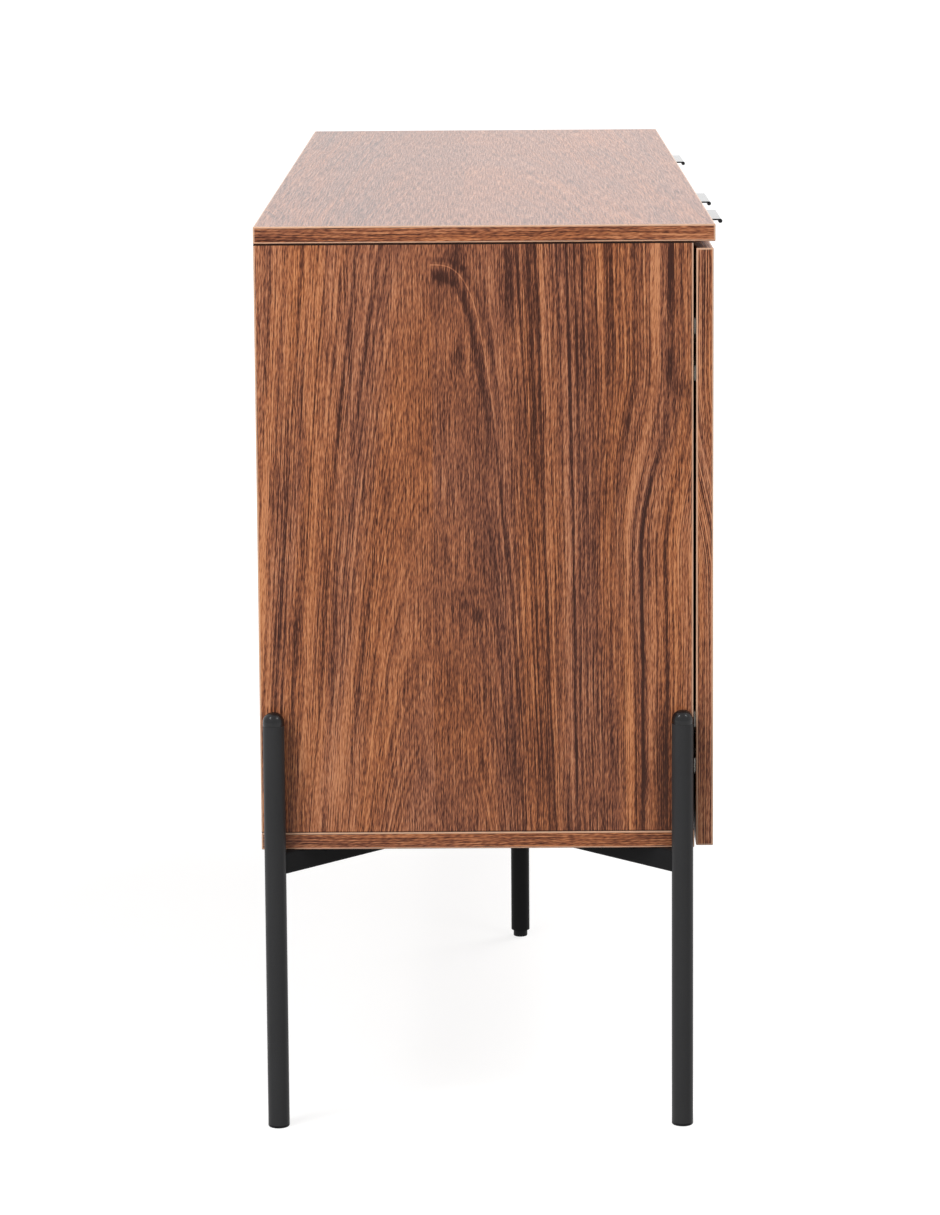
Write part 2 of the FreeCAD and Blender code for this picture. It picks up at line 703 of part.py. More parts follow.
cabinet_rails = []
for index, drawer_name in enumerate(drawer_names):
    low_z = front_low_z + index * (drawer_front_height + drawer_seam)
    high_z = low_z + drawer_front_height
    side_z0 = low_z + drawer_side_rise
    side_z1 = side_z0 + drawer_side_height
    side_y1 = front_back_y + drawer_side_length
    rail_z = side_z0 + rail_rise
    floor_z = side_z0 + drawer_bottom_rise
    floor_top_z = floor_z + drawer_bottom_thickness
    outer_x0 = drawer_bay_x0 + rail_space
    outer_x1 = drawer_bay_x1 - rail_space
    inner_x0 = outer_x0 + drawer_side_thickness
    inner_x1 = outer_x1 - drawer_side_thickness
    centre_x = (drawer_x0 + drawer_x1) / 2
    pull_span = (centre_x - pull_length / 2, centre_x + pull_length / 2, high_z)
    floor_groove = span_box(
        (
            inner_x0 - drawer_groove_depth,
            front_back_y - drawer_groove_depth,
            floor_z - drawer_groove_clearance,
        ),
        (
            inner_x1 + drawer_groove_depth,
            side_y1 + overrun,
            floor_top_z + drawer_groove_clearance,
        ),
    )
    floor = span_box(
        (
            inner_x0 - drawer_groove_depth + drawer_groove_clearance,
            front_back_y - drawer_groove_depth + drawer_groove_clearance,
            floor_z,
        ),
        (
            inner_x1 + drawer_groove_depth - drawer_groove_clearance,
            side_y1,
            floor_top_z,
        ),
    )
    save(drawer_name + "_floor", floor)

    fittings = pull_screws(*pull_span)
    front_holes = pull_pilots(*pull_span) + [floor_groove]
    side_holes = [floor_groove]
    mid_rails = []
    drawer_rails = []
    for face_x, way, side_x in ((drawer_bay_x0, 1, outer_x0), (drawer_bay_x1, -1, outer_x1)):
        half = cabinet_rail_height / 2
        cabinet_rail = channel(face_x, way, 0, cabinet_rail_reach, half, rail_z, False)
        half = mid_rail_height / 2
        mid_rail = channel(face_x, way, mid_rail_start, mid_rail_reach, half, rail_z, False)
        half = drawer_rail_height / 2
        drawer_rail = channel(face_x, way, drawer_rail_start, rail_space, half, rail_z, True)
        rail_holes = []
        slide_holes = []
        for inset in rail_screw_insets:
            seat = Vec(face_x + way * rail_sheet, rail_y0 + inset, rail_z)
            inside_screws.append(screw(seat, X_AXIS * -way, screw_length - overrun))
            inside_holes.append(screw_hole(seat, X_AXIS * -way))
            rail_holes.append(screw_hole(seat, X_AXIS * -way))
            seat = Vec(side_x - way * rail_sheet, rail_y0 + inset, rail_z)
            short = drawer_side_thickness - overrun
            fittings.append(screw(seat, X_AXIS * way, short))
            side_holes.append(screw_hole(seat, X_AXIS * way, short))
            slide_holes.append(screw_hole(seat, X_AXIS * way, short))
        cabinet_rails.append(cabinet_rail.cut(rail_holes))
        mid_rails.append(mid_rail)
        mid_rails.extend(ball_strips(face_x, way, rail_z))
        drawer_rails.append(drawer_rail.cut(slide_holes))

        # The cam that pulls this side to the front, and the screws that hold the back
        cam_y = front_back_y + drawer_cam_setback
        middle_x = side_x + way * drawer_side_thickness / 2
        inner_face = side_x + way * drawer_side_thickness
        for rise in (drawer_cam_rise, drawer_side_height - drawer_cam_rise):
            spot = Vec(inner_face, cam_y, side_z0 + rise)
            bolt_start = Vec(middle_x, cam_y - drawer_cam_radius + cam_bolt_hold, spot.z)
            bolt_reach = drawer_cam_setback - drawer_cam_radius + cam_bolt_hold + cam_bolt_bite
            bolt = rod(cam_bolt_radius, bolt_start, -Y_AXIS, bolt_reach)
            wide = cam_bolt_radius + cam_clearance
            hole_start = bolt_start + Y_AXIS * cam_clearance
            bolt_hole = rod(wide, hole_start, -Y_AXIS, bolt_reach + 2 * cam_clearance)
            lock = rod(drawer_cam_radius, spot, X_AXIS * -way, drawer_cam_depth).cut(bolt_hole)
            bore_start = spot + X_AXIS * way * overrun
            bore = rod(drawer_cam_radius + cam_clearance, bore_start, X_AXIS * -way,
                       drawer_cam_depth + cam_clearance + overrun)
            fittings.extend([bolt, lock])
            front_holes.append(bolt_hole)
            side_holes.extend([bolt_hole, bore])
        for step in range(2):
            rise = drawer_back_screw_rise + drawer_back_screw_pitch * step
            seat = Vec(side_x, side_y1 - drawer_side_thickness / 2, side_z0 + rise)
            reach = 2 * drawer_side_thickness
            fittings.append(screw(seat, X_AXIS * way, reach))
            side_holes.append(screw_hole(seat, X_AXIS * way, reach))
    leaf = board((drawer_x0, front_face_y, low_z), (drawer_x1, front_back_y, high_z))
    save(drawer_name + "_front", drill(leaf, front_holes))
    sides = []
    for x in (outer_x0, inner_x1):
        side = span_box((x, front_back_y, side_z0), (x + drawer_side_thickness, side_y1, side_z1))
        sides.append(drill(side, side_holes))
    save(drawer_name + "_sides", sides)
    back = span_box((inner_x0, side_y1 - drawer_side_thickness, floor_top_z), (inner_x1, side_y1, side_z1))
    save(drawer_name + "_back", drill(back, side_holes[1:]))
    save(drawer_name + "_pull", edge_pull(*pull_span))
    save(drawer_name + "_fittings", fittings)
    save(drawer_name + "_mid_rails", mid_rails)
    save(drawer_name + "_rails", drawer_rails)
save("cabinet_rails", cabinet_rails)

# Uprights
for name, low_x, cam_side, row_sides in uprights:
    at_end = name.endswith("end_panel")
    back_edge = back_y if at_end else back_panel_y
    panel = board(
        (low_x, carcass_y, bottom_top_z),
        (low_x + board_thickness, back_edge, panel_top_z),
    )
    holes = shelf_row_holes(low_x, row_sides) + fitting_holes + inside_holes
    holes += [cam_bore(cam_side, spot) for spot, _ in cam_sets(low_x, cam_side)]
    if at_end:
        holes += bolt_holes + [groove]
    save(name, drill(panel, holes))

# Shelves on their pins
shelf_pins = []
shelves = [
    ("left_shelf", -half_length + board_thickness, left_seam_x - board_thickness / 2),
    ("middle_shelf", left_seam_x + board_thickness / 2, right_seam_x - board_thickness / 2),
]
for name, x0, x1 in shelves:
    under_z = shelf_mid_z + pin_head_radius
    shelf = board(
        (x0 + shelf_clearance, carcass_y + shelf_setback, under_z),
        (x1 - shelf_clearance, back_panel_y - shelf_clearance, under_z + shelf_thickness),
    )
    save(name, shelf)
    for face_x, way in ((x0, 1), (x1, -1)):
        for y in row_ys:
            face = Vec(face_x, y, shelf_mid_z)
            stem = rod(pin_radius, face - X_AXIS * way * pin_depth, X_AXIS * way, pin_depth)
            head = rod(pin_head_radius, face, X_AXIS * way, pin_head_length)
            shelf_pins.append(stem.fuse(head))
save("shelf_pins", shelf_pins)
save("inside_screws", inside_screws)

# Bumpers on the carcass edges, behind the free corners of the doors and the drawer fronts
bumper_spots = []
edge_middle = (board_thickness + front_seam) / 4
for z in (front_low_z + bumper_end_inset, front_high_z - bumper_end_inset):
    bumper_spots.append((left_seam_x - edge_middle, z))
    bumper_spots.append((left_seam_x + edge_middle, z))
for index in range(drawer_count):
    z = front_low_z + index * (drawer_front_height + drawer_seam) + bumper_end_inset / 2
    bumper_spots.append((right_seam_x + edge_middle, z))
    bumper_spots.append((half_length - board_thickness / 2, z))
bumpers = []
for x, z in bumper_spots:
    dot = rod(bumper_radius, (x, carcass_y, z), -Y_AXIS, front_gap - bumper_gap)
    bumpers.append(dot.makeFillet(bumper_radius / 4, [dot.Edges[2]]))
save("bumpers", bumpers)


# Legs
def plug(axis, low_z, high_z):
    """The part of a cap or a glide that is pressed into the leg's tube."""
    inner = leg_radius - leg_wall - plug_clearance
    return rod(inner, (axis.x, axis.y, low_z), Z_AXIS, high_z - low_z)


def domed_cap(axis):
    """A cap with a short straight band and a dome a little flatter than half a ball."""
    dome = Part.makeSphere(leg_radius, Vec(), Z_AXIS, 0, 90)
    squash = FreeCAD.Matrix()
    squash.scale(1, 1, cap_height / leg_radius)
    dome = dome.transformGeometry(squash)
    dome.translate(Vec(axis.x, axis.y, leg_top_z + cap_band))
    band = rod(leg_radius, (axis.x, axis.y, leg_top_z), Z_AXIS, cap_band)
    return dome.fuse([band, plug(axis, leg_top_z - plug_length, leg_top_z)])


def glide(axis):
    disc = rod(leg_radius, axis, Z_AXIS, glide_height)
    low_edges = [edge for edge in disc.Edges if edge.BoundBox.ZMax < glide_height / 2]
    disc = disc.makeFillet(glide_round, low_edges)
    return disc.fuse(plug(axis, glide_height, glide_height + plug_length))


def brace_frame(axis, end, towards_back):
    """A brace's start, its way inwards and the way across it."""
    along = Vec(-end, -towards_back, 0).normalize()
    across = Z_AXIS.cross(along)
    return Vec(axis.x, axis.y, clear_height), along, across


def brace_screw_places(axis, end, towards_back):
    start, along, across = brace_frame(axis, end, towards_back)
    out = (brace_plate_width + brace_width) / 4
    places = []
    for reach in (brace_screw_inset, brace_plate_length - brace_screw_inset):
        for side in (-1, 1):
            point = start + along * (brace_plate_start + reach) + across * (side * out)
            places.append(point - Z_AXIS * brace_plate_thickness)
    return places


def brace(axis, end, towards_back):
    """A bar at 45 degrees, welded to the leg and through a plate that lies against the board."""
    start, along, across = brace_frame(axis, end, towards_back)
    turn = math.degrees(math.atan2(along.y, along.x))
    bar = span_box(
        (0, -brace_width / 2, -brace_plate_thickness - brace_height),
        (brace_length, brace_width / 2, 0),
    )
    long_edges = []
    for edge in bar.Edges:
        run = edge.Vertexes[1].Point - edge.Vertexes[0].Point
        if abs(run.x) > brace_length / 2:
            long_edges.append(edge)
    bar = bar.makeFillet(brace_round, long_edges)
    plate = rounded_plate(
        (brace_plate_start, -brace_plate_width / 2, -brace_plate_thickness),
        (brace_plate_start + brace_plate_length, brace_plate_width / 2, 0),
        brace_round, Z_AXIS,
    )
    welded = bar.fuse(plate)
    welded.rotate(Vec(), Z_AXIS, turn)
    welded.translate(start)
    cope = rod(leg_radius + weld_gap, axis, Z_AXIS, clear_height)
    holes = [screw_hole(place, Z_AXIS) for place in brace_screw_places(axis, end, towards_back)]
    return welded.cut(holes + [cope])


caps = []
glides = []
braces = []
board_screws = []
board_holes = []
for name, end, towards_back, axis in legs:
    tube_low = Vec(axis.x, axis.y, glide_height)
    tube = rod(leg_radius, tube_low, Z_AXIS, leg_top_z - glide_height)
    bore = rod(leg_radius - leg_wall, axis, Z_AXIS, leg_top_z + overrun)
    save(name + "_leg", drill(tube, [bore] + bolt_holes))
    caps.append(domed_cap(axis))
    glides.append(glide(axis))
    braces.append(brace(axis, end, towards_back))
    for place in brace_screw_places(axis, end, towards_back):
        board_screws.append(screw(place, Z_AXIS))
        board_holes.append(screw_hole(place, Z_AXIS))
save("leg_caps", caps)
save("leg_glides", glides)
save("leg_braces", braces)

# Middle support
half_plate = support_plate_size / 2
support_plate = rounded_plate(
    (-half_plate, support_y - half_plate, clear_height - support_plate_thickness),
    (half_plate, support_y + half_plate, clear_height),
    brace_round, Z_AXIS,
)
plate_low_z = clear_height - support_plate_thickness
support_screws = []
for x in (support_screw_inset - half_plate, half_plate - support_screw_inset):
    for y in (support_screw_inset - half_plate, half_plate - support_screw_inset):
        support_screws.append(Vec(x, support_y + y, plate_low_z))
support_tube = rod(support_radius, (0, support_y, foot_height), Z_AXIS, plate_low_z - foot_height)
collar = rod(support_collar_radius, (0, support_y, plate_low_z - support_collar_height), Z_AXIS,
             support_collar_height)
support_bore = rod(support_radius - support_wall, (0, support_y, 0), Z_AXIS,
                   plate_low_z - support_collar_height)
support_cuts = [support_bore]
for place in support_screws:
    support_cuts.append(screw_hole(place, Z_AXIS))
    board_screws.append(screw(place, Z_AXIS))
    board_holes.append(screw_hole(place, Z_AXIS))
save("middle_support", drill(support_plate.fuse([collar, support_tube]).removeSplitter(), support_cuts))
foot = rod(foot_radius, (0, support_y, 0), Z_AXIS, foot_height + foot_stem)
foot_edges = [edge for edge in foot.Edges if edge.BoundBox.ZMax < foot_height]
save("support_foot", foot.makeFillet(foot_round, foot_edges))
save("frame_fasteners", leg_bolts + board_screws)

# Top and bottom boards
top_board = board((-half_length, back_y - top_depth, panel_top_z), (half_length, back_y, top_z))
save("top_board", drill(top_board, fitting_holes + [groove]))
bottom_board = board(
    (-half_length, carcass_y - bottom_lip, clear_height),
    (half_length, back_y, bottom_top_z),
)
save("bottom_board", drill(bottom_board, fitting_holes + board_holes + [groove]))
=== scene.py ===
import math

import bmesh
import bpy
from mathutils import Matrix, Vector


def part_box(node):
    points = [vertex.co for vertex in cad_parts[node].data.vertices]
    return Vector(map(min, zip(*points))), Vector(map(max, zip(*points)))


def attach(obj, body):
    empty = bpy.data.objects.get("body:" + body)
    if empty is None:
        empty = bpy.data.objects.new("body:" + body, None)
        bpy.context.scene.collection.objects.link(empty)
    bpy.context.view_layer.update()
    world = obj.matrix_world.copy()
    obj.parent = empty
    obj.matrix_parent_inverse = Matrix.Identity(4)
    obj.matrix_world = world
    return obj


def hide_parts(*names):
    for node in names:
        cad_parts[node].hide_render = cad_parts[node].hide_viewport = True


bl_info = {
    "name": "Credenza",
    "version": (1, 0, 0),
    "blender": (4, 5, 0),
    "location": "View3D > Sidebar > Credenza",
    "description": "Dresses a walnut-look credenza on black steel legs",
    "category": "Add Mesh",
}

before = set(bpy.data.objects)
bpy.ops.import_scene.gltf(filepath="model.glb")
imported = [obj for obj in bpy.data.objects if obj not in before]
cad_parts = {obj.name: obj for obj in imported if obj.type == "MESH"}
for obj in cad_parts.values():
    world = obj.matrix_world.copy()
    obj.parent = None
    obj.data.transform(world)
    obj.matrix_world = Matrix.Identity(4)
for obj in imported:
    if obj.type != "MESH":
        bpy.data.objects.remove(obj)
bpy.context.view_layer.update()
back_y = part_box("top_board")[1].y
mm = 0.001


def linear(hex_colour):
    """An sRGB hex colour as linear red, green and blue."""
    channels = [int(hex_colour[i:i + 2], 16) / 255 for i in (1, 3, 5)]
    return tuple(c / 12.92 if c <= 0.04045 else ((c + 0.055) / 1.055) ** 2.4 for c in channels)


def colour(name, description, hex_colour):
    """A colour that the panel offers."""
    return bpy.props.FloatVectorProperty(
        name=name, description=description, subtype="COLOR", min=0, max=1, default=linear(hex_colour)
    )


def size(name, description, default):
    """A length that the panel offers."""
    return bpy.props.FloatProperty(name=name, description=description, default=default, unit="LENGTH")


class CredenzaSizes(bpy.types.PropertyGroup):
    """Sizes of the pieces that are modelled here."""

    pull_sheet: size("Pull sheet", "Thickness of the folded sheet of an edge pull", 1.5 * mm)
    pull_bead: size("Pull bead", "Radius of the bead along a pull's front", 2 * mm)
    pull_fold: size("Pull fold", "Outer radius of the fold over the front's edge", 1.2 * mm)
    pull_corner: size("Pull corner", "Radius of the lip's lower corners", 3 * mm)
    pull_ease: size("Pull edge", "Width of the eased edges of a pull", 0.15 * mm)
    cap_groove: size("Cap groove", "Width of the parting line between a cap and its leg", 0.35 * mm)
    cap_band: size("Cap band", "Height of the straight band under a cap's dome", 3 * mm)


class CredenzaFinish(bpy.types.PropertyGroup):
    """Colours of the finishes."""

    walnut_vein: colour("Walnut veins", "Darkest lines of the printed walnut", "#3a1e15")
    walnut_dark: colour("Walnut dark", "Dark bands of the printed walnut", "#5e3729")
    walnut_mid: colour("Walnut", "Middle tone of the printed walnut", "#86513a")
    walnut_light: colour("Walnut light", "Light bands of the printed walnut", "#a76947")
    walnut_pale: colour("Walnut pale", "Lightest flecks of the printed walnut", "#c58862")
    # Pale arrises: part wear of the foil and part painted highlight, where the edges catch the light
    arris: colour("Arris", "Eased edges, where the foil is worn thin", "#dab295")
    joint: colour("Joint", "Shadow line where an upright meets a board", "#1c100b")
    powder_coat: colour("Powder coat", "Legs", "#313132")
    # Painted shade: the legs' coat made darker where it lies under the bottom board
    shaded_under_coat: colour("Powder coat below", "Braces and the middle support", "#1b1b1c")
    cap: colour("Caps", "Moulded caps on the legs", "#0e0e10")
    plastic: colour("Plastic", "Glides and the levelling foot", "#18181a")
    pull: colour("Pulls", "Edge pulls", "#0f0f10")
    # Painted shade: the hinges' nickel darkened for the shade in the doors' gap
    nickel: colour("Nickel", "Hinges", "#8f8c86")
    zinc: colour("Zinc", "Runners, screws and cams", "#b9bcc0")
    hardboard: colour("Hardboard", "Bare side of the back panel", "#6b4a33")
    drawer_foil: colour("Drawer foil", "Drawer boxes", "#a9a49b")
    bumper: colour("Bumpers", "Soft bumpers behind the fronts", "#d9dcd8")
    beech: colour("Beech", "Dowels", "#c9a274")
    floor: colour("Floor", "Studio floor", "#8e8d8c")


def add(tree, kind, sockets=(), **settings):
    """Adds a node with its settings, values and links.

    A node given to a socket stands for its first output."""
    made = tree.nodes.new("ShaderNode" + kind)
    for name, value in settings.items():
        setattr(made, name, value)
    for name, value in dict(sockets).items():
        if isinstance(value, bpy.types.Node):
            value = value.outputs[0]
        if isinstance(value, bpy.types.NodeSocket):
            tree.links.new(value, made.inputs[name])
        else:
            made.inputs[name].default_value = value
    return made


def new_material(name, **values):
    """A material with a bare Principled shader, whose uniform values are set on its sockets."""
    material = bpy.data.materials.new(name)
    material.use_nodes = True
    tree = material.node_tree
    shader = tree.nodes["Principled BSDF"]
    for socket, value in values.items():
        shader.inputs[socket.replace("_", " ")].default_value = value
    return material, tree, shader


def dress(material, *nodes):
    """Gives CAD nodes a material."""
    for node in nodes:
        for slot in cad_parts[node].material_slots:
            slot.material = material


# The walnut print shows two leaves of veneer that meet at a seam. Its sizes and places are in millimetres.
# A growth line is named by its distance from the seam, measured far down the leaf. On the wide leaf it is an
# arch, with a power that says how pointed it is, and on the narrow leaf it is the flank of a wider arch
arch_power = 10 / 3
arch_spread = 12.28
flank_width = 16.0

# Far from the seam the growth lines lean the other way, by up to this much, between these places and heights
lean_most = 28.0
lean_places = (125.0, 200.0)
lean_heights = (340.0, 520.0)

# Each leaf's streaks lie between two growth lines. A streak has a growth line, a half width and a tone
wide_leaf = (60.0, 230.0)
narrow_leaf = (60.0, 200.0)
wide_leaf_streaks = [
    (78.5, 4.5, -0.27),
    (83.2, 1.4, -0.4),
    (87.0, 2.8, 0.18),
    (94.5, 3.0, -0.12),
    (98.5, 1.4, -0.42),
    (103.0, 3.4, -0.24),
    (107.4, 1.4, -0.42),
    (111.0, 2.6, 0.12),
    (116.0, 1.4, -0.12),
    (120.5, 1.3, -0.24),
    (124.0, 2.0, 0.16),
    (127.6, 1.5, -0.62),
    (130.5, 1.2, 0.1),
    (133.0, 1.1, -0.36),
    (138.0, 1.1, -0.36),
    (143.5, 1.1, -0.3),
    (151.0, 5.0, -0.1),
    (160.0, 1.4, -0.2),
    (164.0, 2.0, 0.1),
    (173.0, 7.5, 0.36),
    (178.0, 1.2, -0.12),
    (184.0, 3.4, -0.5),
    (194.0, 6.0, 0.08),
    (204.0, 2.4, -0.16),
    (212.0, 4.0, 0.1),
]
narrow_leaf_streaks = [
    (76.0, 3.0, 0.05),
    (90.0, 2.0, -0.12),
    (99.0, 3.5, 0.08),
    (108.0, 2.0, -0.12),
    (118.5, 2.4, -0.13),
    (126.0, 3.5, 0.1),
    (134.0, 2.0, -0.1),
    (141.0, 3.0, 0.08),
    (150.0, 3.0, -0.24),
    (157.0, 2.5, 0.08),
    (166.0, 6.0, 0.17),
    (177.0, 4.0, 0.05),
]

# Streaks beside the growth line that forms the pale rim of the arch, by their distance from it. The rim comes
# in between two heights
rim_line = 83.8
rim_heights = (400.0, 500.0)
rim_reach = (-40.0, 40.0)
rim_streaks = [
    (-8.0, 7.5, -0.32),
    (0.0, 1.3, 0.36),
    (5.0, 3.5, -0.14),
]

# Marks in the figure: distance from the seam, height in the leaf, half width, half height and tone
marks = [
    (8.0, 590.0, 10.0, 9.0, -0.2),
    (22.0, 606.0, 10.0, 30.0, -0.26),
    (68.0, 590.0, 12.0, 66.0, -0.28),
    (38.0, 294.0, 8.0, 11.0, -0.3),
    (29.0, 303.0, 6.0, 8.0, -0.2),
    (23.0, 522.0, 9.0, 13.0, -0.2),
    (206.0, 512.0, 6.0, 26.0, -0.26),
    (217.0, 494.0, 11.0, 13.0, -0.24),
    (209.0, 590.0, 5.0, 60.0, -0.26),
    (200.0, 100.0, 9.0, 170.0, -0.32),
    (216.0, 330.0, 15.0, 150.0, 0.2),
    (-50.0, 378.0, 2.5, 5.0, -0.3),
    (-114.0, 480.0, 5.0, 90.0, -0.14),
    (-71.0, 522.0, 3.0, 40.0, -0.18),
    # This mark lightens the narrow leaf low down beside the back leg: partly print, partly painted light
    # against the leg's shadow
    (-98.0, 160.0, 30.0, 90.0, 0.24),
]

# Layers of the print's tone, from broad bands to growth rings: width, length along the grain and weight
print_layers = (
    (36.0, 900.0, 0.36),
    (9.0, 420.0, 0.22),
    (4.0, 300.0, 0.24),
    (1.9, 340.0, 0.54),
    (1.0, 300.0, 1.5),
)

# Width and length of the fibres and the short pores. Real ones are 0.2 mm wide and are drawn nearly 1 mm
# wide, so that they show. The slip and the shuffle keep the pores out of rows
fibre_width, fibre_length = 0.95, 60.0
pore_width, pore_length = 0.8, 5.5
pore_slip = 3.1
pore_shuffle = 0.61

# The clear film gives way at the arrises and the joints. Each band fades in between two distances from the
# board's side or end. A pale arris is partly real wear of the foil and partly a painted highlight, as if its
# rounded edge caught the light. Real wear is half a millimetre wide and is drawn wider, so that it shows. The
# dark line along the joints is painted shadow. The covers say how much of the print is hidden there
film_weight = 0.62
arris_band = (1.7, 1.1)
arris_cover = 0.8
upper_joint_band = (1.6, 1.2)
lower_joint_band = (1.4, 1.0)
lower_joint_cover = 0.6

# A face is an edge or an end of a board where its normal points at least this squarely along an axis
squarely = 0.75


def streak_curve(tree, place, leaf, streaks):
    """The streaks' tone, lighter above nought and darker below it, at a place across a leaf."""
    share = add(tree, "MapRange", {"Value": place, "From Min": leaf[0], "From Max": leaf[1]})
    made = add(tree, "FloatCurve", {"Value": share})
    points = [(0.0, 0.5)]
    for growth_line, half, tone in streaks:
        low, centre, high = [
            (growth_line + step - leaf[0]) / (leaf[1] - leaf[0]) for step in (-half, 0, half)]
        points += [(max(low, points[-1][0] + 0.001), 0.5), (centre, 0.5 + tone), (high, 0.5)]
    points.append((1.0, 0.5))
    line = made.mapping.curves[0]
    for x, y in points[1:-1]:
        line.points.new(x, y)
    for point, (x, y) in zip(line.points, points):
        point.location = (x, y)
        point.handle_type = "AUTO_CLAMPED"
    made.mapping.update()
    return add(tree, "Math", {0: made, 1: 0.5}, operation="SUBTRACT")


def growth_lines(tree, from_seam, rise):
    """The growth line at each place of both leaves, and how fast the lines change from place to place."""
    high = add(tree, "MapRange", {"Value": rise, "From Min": lean_heights[0], "From Max": lean_heights[1],
                                  "To Max": lean_most}, interpolation_type="SMOOTHSTEP")
    far = add(tree, "MapRange", {"Value": from_seam, "From Min": lean_places[0], "From Max": lean_places[1]},
              interpolation_type="SMOOTHSTEP")
    lean = add(tree, "Math", {0: high, 1: far}, operation="MULTIPLY")
    wide = add(tree, "Math", {0: add(
        tree, "Math", {0: from_seam, 1: lean}, operation="SUBTRACT"), 1: 0.0}, operation="MAXIMUM")

    # Arches on the wide leaf, flanks of a wider arch on the narrow one
    wide_power = add(tree, "Math", {0: wide, 1: arch_power}, operation="POWER")
    arch = add(tree, "Math", {0: rise, 1: arch_spread ** arch_power, 2: wide_power},
               operation="MULTIPLY_ADD")
    arch = add(tree, "Math", {0: arch, 1: 1 / arch_power}, operation="POWER")
    squared = add(tree, "Math", {0: from_seam, 1: from_seam}, operation="MULTIPLY")
    flank = add(tree, "Math", {0: rise, 1: flank_width, 2: squared}, operation="MULTIPLY_ADD")
    flank = add(tree, "Math", {0: flank}, operation="SQRT")
    on_wide = add(tree, "Math", {0: from_seam, 1: 0.0}, operation="GREATER_THAN")
    turned = add(tree, "Math", {0: flank, 1: -1.0}, operation="MULTIPLY")
    line = add(tree, "Mix", {0: on_wide, 2: turned, 3: arch})

    # The lines change slowly where they run flat, near the seam
    bend = add(tree, "Math", {0: add(
        tree, "Math", {0: wide, 1: arch}, operation="DIVIDE"), 1: arch_power}, operation="POWER")
    steep = add(tree, "Math", {0: bend, 1: 1 - 1 / arch_power}, operation="POWER")
    level = add(tree, "Math", {0: add(
        tree, "Math", {0: 1.0, 1: bend}, operation="SUBTRACT"), 1: 1 / arch_power}, operation="MULTIPLY")
    level = add(tree, "Math", {0: level, 1: add(
        tree, "Math", {0: arch, 1: rise}, operation="DIVIDE")}, operation="MULTIPLY")
    wide_rate = add(tree, "VectorMath", {0: add(
        tree, "CombineXYZ", {0: steep, 1: level})}, operation="LENGTH").outputs["Value"]
    narrow_rate = add(tree, "Math", {0: add(
        tree, "Math", {0: from_seam}, operation="ABSOLUTE"), 1: flank}, operation="DIVIDE")
    rate = add(tree, "Mix", {0: on_wide, 2: narrow_rate, 3: wide_rate})
    return on_wide, arch, flank, line, wide_rate, rate


def with_marks(tree, tone, from_seam, rise, on_wide, arch, wide_rate):
    """The tone with the arch's rim and the marks of one board's print."""
    beside_rim = add(tree, "Math", {0: add(
        tree, "Math", {0: arch, 1: rim_line}, operation="SUBTRACT"), 1: wide_rate}, operation="DIVIDE")
    rim = add(tree, "MapRange", {"Value": rise, "From Min": rim_heights[0], "From Max": rim_heights[1]},
              interpolation_type="SMOOTHSTEP")
    rim = add(tree, "Math", {0: rim, 1: on_wide}, operation="MULTIPLY")
    rim_tone = streak_curve(tree, beside_rim, rim_reach, rim_streaks)
    tone = add(tree, "Math", {0: rim_tone, 1: rim, 2: tone}, operation="MULTIPLY_ADD")
    leaf_place = add(tree, "CombineXYZ", {0: from_seam, 1: rise})
    for from_seam_mm, height, half_width, half_height, strength in marks:
        offset = add(tree, "VectorMath", {0: leaf_place, 1: (from_seam_mm, height, 0)},
                     operation="SUBTRACT")
        offset = add(tree, "VectorMath", {0: offset, 1: (1 / half_width, 1 / half_height, 0)},
                     operation="MULTIPLY")
        offset = add(tree, "VectorMath", {0: offset}, operation="LENGTH").outputs["Value"]
        mark = add(tree, "MapRange", {"Value": offset, "From Min": 1.0, "From Max": 0.2,
                                      "To Max": strength}, interpolation_type="SMOOTHSTEP")
        tone = add(tree, "Math", {0: tone, 1: mark}, operation="ADD")
    return tone


def worn_and_lit_arris(tree, coords, place, low, high, along, across, thick, joined):
    """Pale arrises, part wear and part painted highlight: close to two of the board's sides at once, not
    facing down.
    """
    inset = add(tree, "CombineXYZ", {0: place[0], 1: place[1], 2: place[2]})
    inset = add(tree, "VectorMath", {0: inset, 1: (low + high) / 2}, operation="SUBTRACT")
    inset = add(tree, "VectorMath", {0: inset}, operation="ABSOLUTE")
    inset = add(tree, "VectorMath", {0: (high - low) / 2, 1: inset}, operation="SUBTRACT")
    inset = add(tree, "SeparateXYZ", {0: inset}).outputs
    second = add(tree, "Math", {0: inset[across], 1: inset[thick]}, operation="MAXIMUM")
    if not joined:
        nearer = add(tree, "Math", {0: inset[across], 1: inset[thick]}, operation="MINIMUM")
        second = add(tree, "Math", {0: second, 1: inset[along]}, operation="MINIMUM")
        second = add(tree, "Math", {0: second, 1: nearer}, operation="MAXIMUM")
    wear_and_highlight = add(tree, "MapRange", {"Value": second, "From Min": arris_band[0], "From Max": arris_band[1],
                                  "To Max": arris_cover})
    # Painted highlight: an arris that faces down gets none of the pale colour, because the light comes from
    # above
    upward = add(tree, "SeparateXYZ", {0: coords.outputs["Normal"]}).outputs[2]
    upward = add(tree, "MapRange", {"Value": upward, "From Min": -0.5, "From Max": -0.1})
    return add(tree, "Math", {0: wear_and_highlight, 1: upward}, operation="MULTIPLY")


def joint_shadow_line(tree, height, bottom, top):
    """The painted shadow lines where an upright meets the boards above and below it: strong above, faint
    below.
    """
    upper = add(tree, "MapRange", {"Value": height, "From Min": top - upper_joint_band[0],
                                   "From Max": top - upper_joint_band[1]})
    lower = add(tree, "MapRange", {"Value": height, "From Min": bottom + lower_joint_band[0],
                                   "From Max": bottom + lower_joint_band[1],
                                   "To Max": lower_joint_cover})
    return add(tree, "Math", {0: upper, 1: lower}, operation="MAXIMUM")


